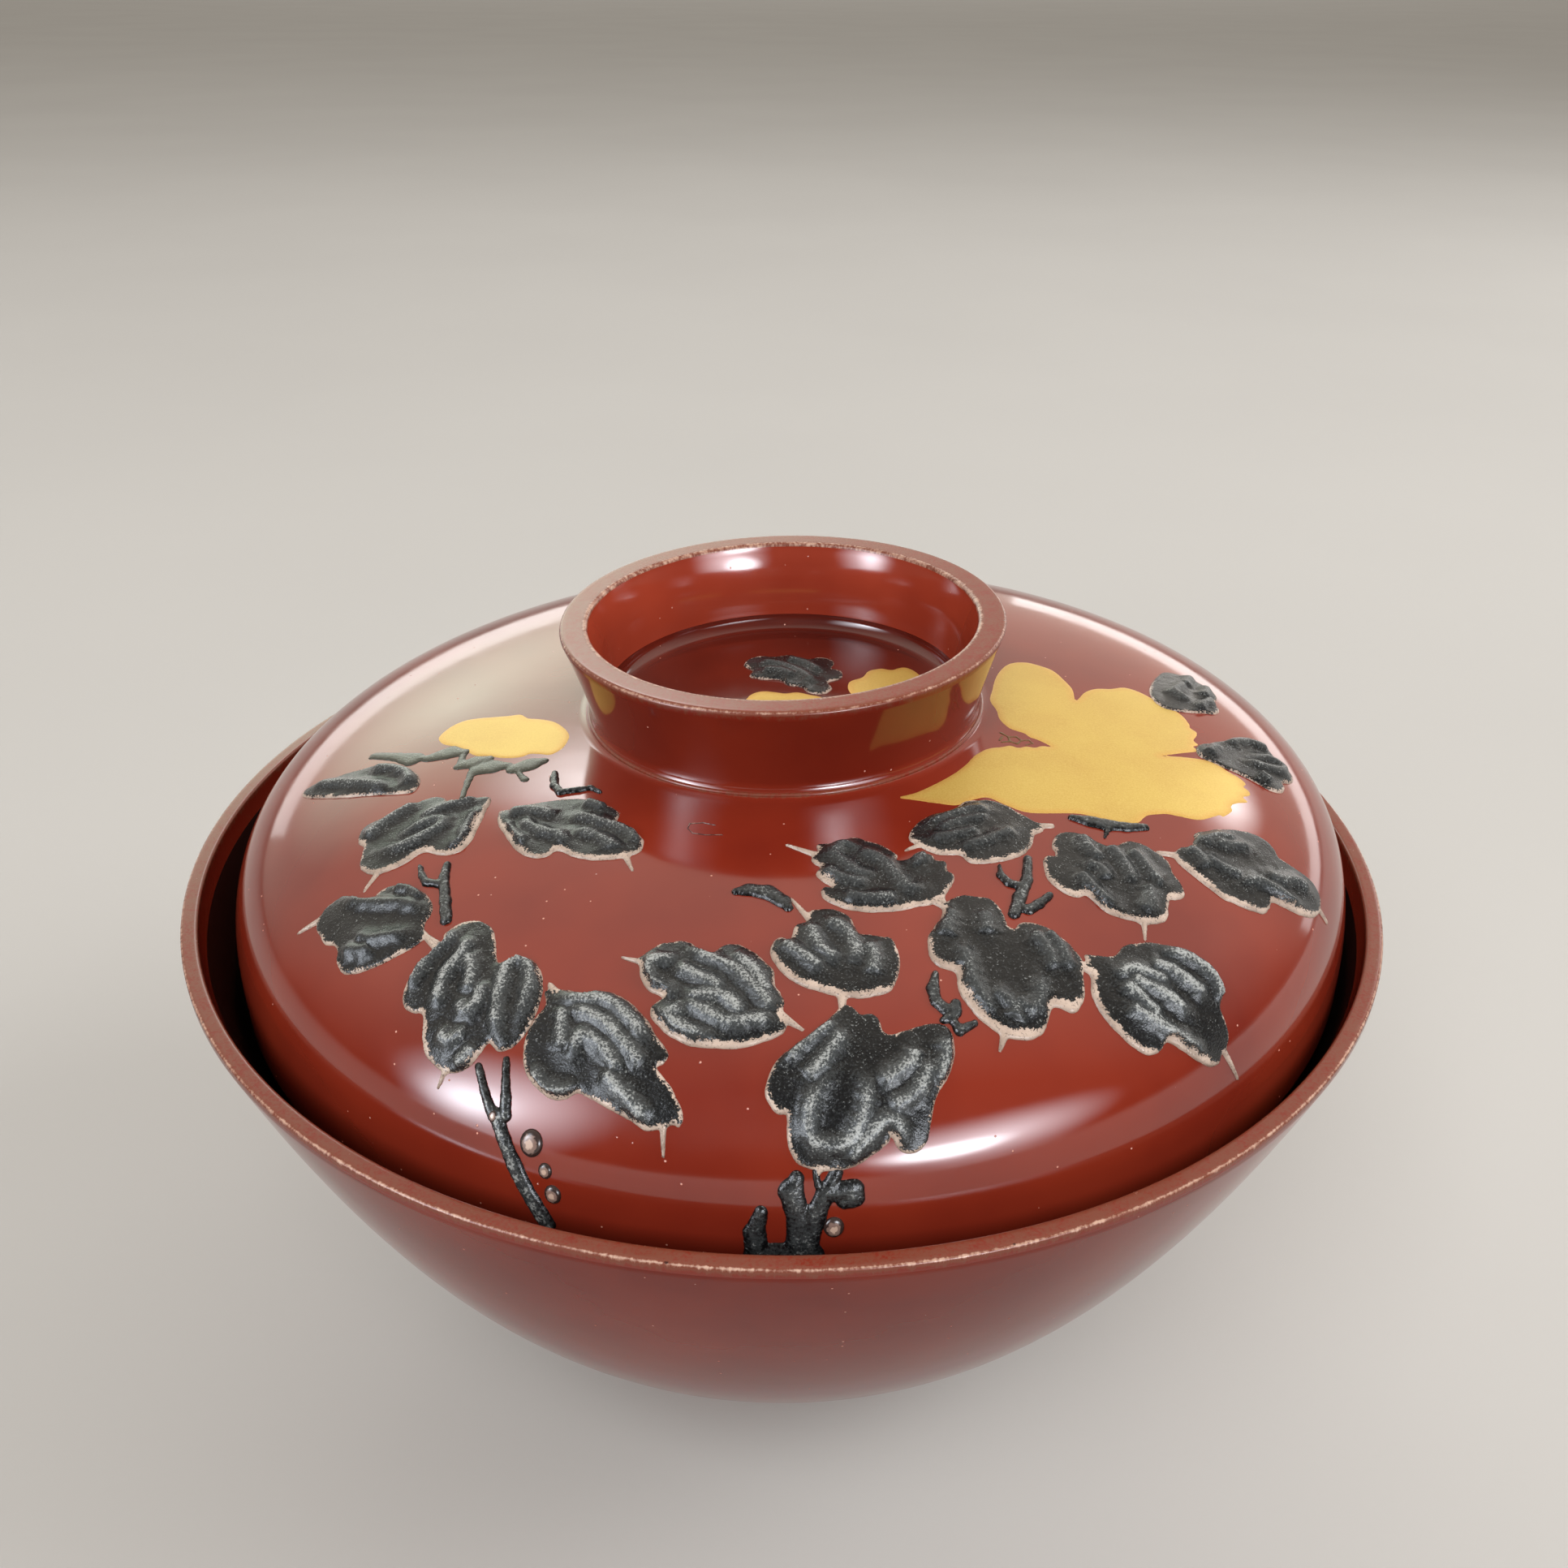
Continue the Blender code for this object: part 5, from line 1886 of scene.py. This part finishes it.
@dataclass(frozen=True)
class Lamp:
    """A soft box: where it is seen from the bowl, how wide and high, how bright its face.

    A box with a fade is brightest in the middle and falls to nothing at its edge.  One that
    isn't mirrored doesn't show in the gloss; one that isn't lighting shows nowhere else.
    Angles are in degrees, bearings from +X towards +Y, and lengths in metres.
    """

    name: str
    bearing: float
    elevation: float
    distance: float
    width: float
    height: float
    brightness: float
    fade: bool = True
    mirrored: bool = True
    lighting: bool = True
    colour: str = "#ffffff"
    falloff: float = 1.5
    target: tuple[float, float, float] = (0.0, 0.0, 0.065)

    def build(self) -> None:
        """Hangs the lamp, facing the lid."""
        turn, rise = radians(self.bearing), radians(self.elevation)
        toward = Vector((cos(rise) * cos(turn), cos(rise) * sin(turn), sin(rise)))
        light = bpy.data.lights.new(self.name, "AREA")
        light.shape = "RECTANGLE"
        light.size, light.size_y = self.width, self.height
        light.energy = self.brightness * pi * self.width * self.height
        light.color = linear(self.colour)[:3]
        if self.fade:
            light.use_nodes = True
            tree = light.node_tree
            face = next(node for node in tree.nodes if node.type == "EMISSION")
            place = add_node(tree, Node.ON_LAMP)
            out = add_node(tree, Node.APART, place, LAMP_MIDDLE)
            glow = add_node(tree, Node.RANGE, out, 0.5, 0.0)
            connect(face, {"Strength": add_node(tree, Node.POWER, glow, self.falloff)})
        lamp = bpy.data.objects.new(self.name, light)
        lamp.visible_camera = False
        lamp.visible_glossy = self.mirrored
        lamp.visible_diffuse = self.lighting
        lamp.location = Vector(self.target) + toward * self.distance
        lamp.rotation_euler = toward.to_track_quat("Z", "Y").to_euler()
        bpy.context.scene.collection.objects.link(lamp)


@dataclass
class Studio:
    """Pale floor, soft boxes, soft sky and the camera.

    The front boxes and the back glow only show in the gloss; the fills only light.  That
    keeps the floor even while the lid mirrors what stood round it.  The camera stands
    stand_off in front of the bowl's middle and height above its lip; its angles are in
    radians, and lens_px is its lens for a frame that is frame_px wide.
    """

    lens_px: float = 1800.0
    frame_px: float = 1932.0
    stand_off: float = 0.14196
    height: float = 0.08658
    pitch: float = 0.5192
    yaw: float = 0.0008
    roll: float = 0.0072
    sky_colour: str = "#fff5e6"
    sky_low: float = 0.16
    sky_high: float = 1.0
    sky_before: float = 0.16
    backdrop: float = 0.6
    sky_behind: float = 0.9
    floor_half: float = 14.0
    floor_drop: float = 0.0001
    sensor_mm: float = 36.0
    lamps: Sequence[Lamp] = (
        Lamp("front_left_box", -144, 20, 0.9, 0.72, 1.2, 15, lighting=False, colour="#eef5ff"),
        Lamp("front_left_tube", -148, 13, 0.85, 0.36, 0.5, 16, lighting=False, colour="#eef5ff"),
        Lamp("front_right_box", -58, 12, 0.9, 0.9, 0.6, 15, lighting=False, colour="#f2f7ff"),
        Lamp("front_right_tube", -65, 9, 0.85, 0.42, 0.2, 50, lighting=False, colour="#f2f7ff"),
        Lamp("back_left_window", 103, 33, 1.1, 0.46, 0.24, 10),
        Lamp("back_right_window", 50, 27, 1.1, 0.34, 0.26, 11),
        Lamp("back_left_glow", 112, 20, 3, 3.4, 1.9, 3.8, lighting=False, colour="#d9f0da"),
        Lamp("back_left_wall", 112, 5, 13, 12, 2, 1.6, fade=False),
        Lamp("back_right_wall", 50, 3.2, 13, 14, 1.8, 2, fade=False),
        Lamp("top_fill", -105, 43, 2, 1.6, 1.6, 7.6, fade=False, mirrored=False),
        Lamp("far_fill", 90, 30, 8, 6, 6, 0.8, fade=False, mirrored=False),
        Lamp("right_fill", 4, 30, 1.5, 0.9, 0.9, 7.5, fade=False, mirrored=False),
    )

    def build(self, rim_top: float) -> None:
        """Sets up the stage.

        Args:
            rim_top: Level of the bowl's lip, which the camera's place is measured from.
        """
        self.floor()
        self.light()
        self.camera(rim_top)

    def floor(self) -> None:
        """Lays the pale floor."""
        half = self.floor_half
        corners = [(-half, -half, 0), (half, -half, 0), (half, half, 0), (-half, half, 0)]
        mesh = bpy.data.meshes.new("studio_floor")
        mesh.from_pydata(corners, [], [(0, 1, 2, 3)])
        mesh.materials.append(StudioFloor().make())
        floor = bpy.data.objects.new("studio_floor", mesh)
        floor.location.z = -self.floor_drop
        bpy.context.scene.collection.objects.link(floor)

    def light(self) -> None:
        """Hangs the soft boxes and sets the sky."""
        world = bpy.data.worlds.new("soft_sky")
        world.use_nodes = True
        tree = world.node_tree
        back = next(node for node in tree.nodes if node.type == "BACKGROUND")
        up = add_node(tree, Node.HEIGHT, add_node(tree, Node.DIRECTION))
        away = up.node.outputs["Y"]
        overhead = add_node(tree, Node.RANGE, up, 0.0, 0.6, self.sky_low, self.sky_high)
        before = add_node(tree, Node.RANGE, away, -0.45, 0.3, self.sky_before, 1.0)
        overhead = add_node(tree, Node.TIMES, overhead, before)
        behind = add_node(tree, Node.RANGE, away, 0.2, 0.9)
        behind = add_node(tree, Node.TIMES, behind, add_node(tree, Node.RANGE, up, 0.5, 0.1))
        behind = add_node(tree, Node.TIMES, behind, self.sky_behind)
        sky = add_node(tree, Node.SUM, overhead, behind)
        seen = add_node(tree, Node.SEEN_DIRECTLY)
        strength = add_node(tree, Node.CHOICE, seen, sky, self.backdrop)
        connect(back, {"Color": linear(self.sky_colour), "Strength": strength})
        bpy.context.scene.world = world
        for lamp in self.lamps:
            lamp.build()

    def camera(self, rim_top: float) -> None:
        """Stands the camera where the bowl is seen from.

        Args:
            rim_top: Level of the bowl's lip.
        """
        view = bpy.data.cameras.new("camera")
        view.sensor_width = self.sensor_mm
        view.lens = self.lens_px * self.sensor_mm / self.frame_px
        view.clip_start = 0.01
        eye = bpy.data.objects.new("camera", view)
        ahead = cos(self.pitch)
        forward = Vector((sin(self.yaw) * ahead, cos(self.yaw) * ahead, -sin(self.pitch)))
        level = forward.cross(Vector((0, 0, 1))).normalized()
        upright = level.cross(forward)
        right = level * cos(self.roll) + upright * sin(self.roll)
        up = right.cross(forward)
        turn = Matrix((right, up, -forward)).transposed()
        place = Matrix.Translation((0, -self.stand_off, rim_top + self.height))
        eye.matrix_world = place @ turn.to_4x4()
        bpy.context.scene.collection.objects.link(eye)
        bpy.context.scene.camera = eye


def report(piece: Piece) -> None:
    """Logs a piece and its size."""
    size = " x ".join(f"{length / MM:.1f}" for length in piece.dimensions)
    LOG.info("%s: %d faces, %s mm", piece.name, len(piece.data.polygons), size)


def main() -> None:
    """Builds the bowl, the lid, its decoration and the studio."""
    logging.basicConfig(level=logging.INFO, format="%(name)s: %(message)s")
    bpy.context.scene.view_settings.view_transform = "Standard"
    finishes = Finishes()
    bowl = Bowl()
    report(bowl.build(finishes))
    lid = Lid()
    report(lid.build(finishes))
    Spray(Ground(lid)).build(finishes)
    Studio().build(bowl.top)
    bpy.context.view_layer.update()


if __name__ == "__main__":
    main()
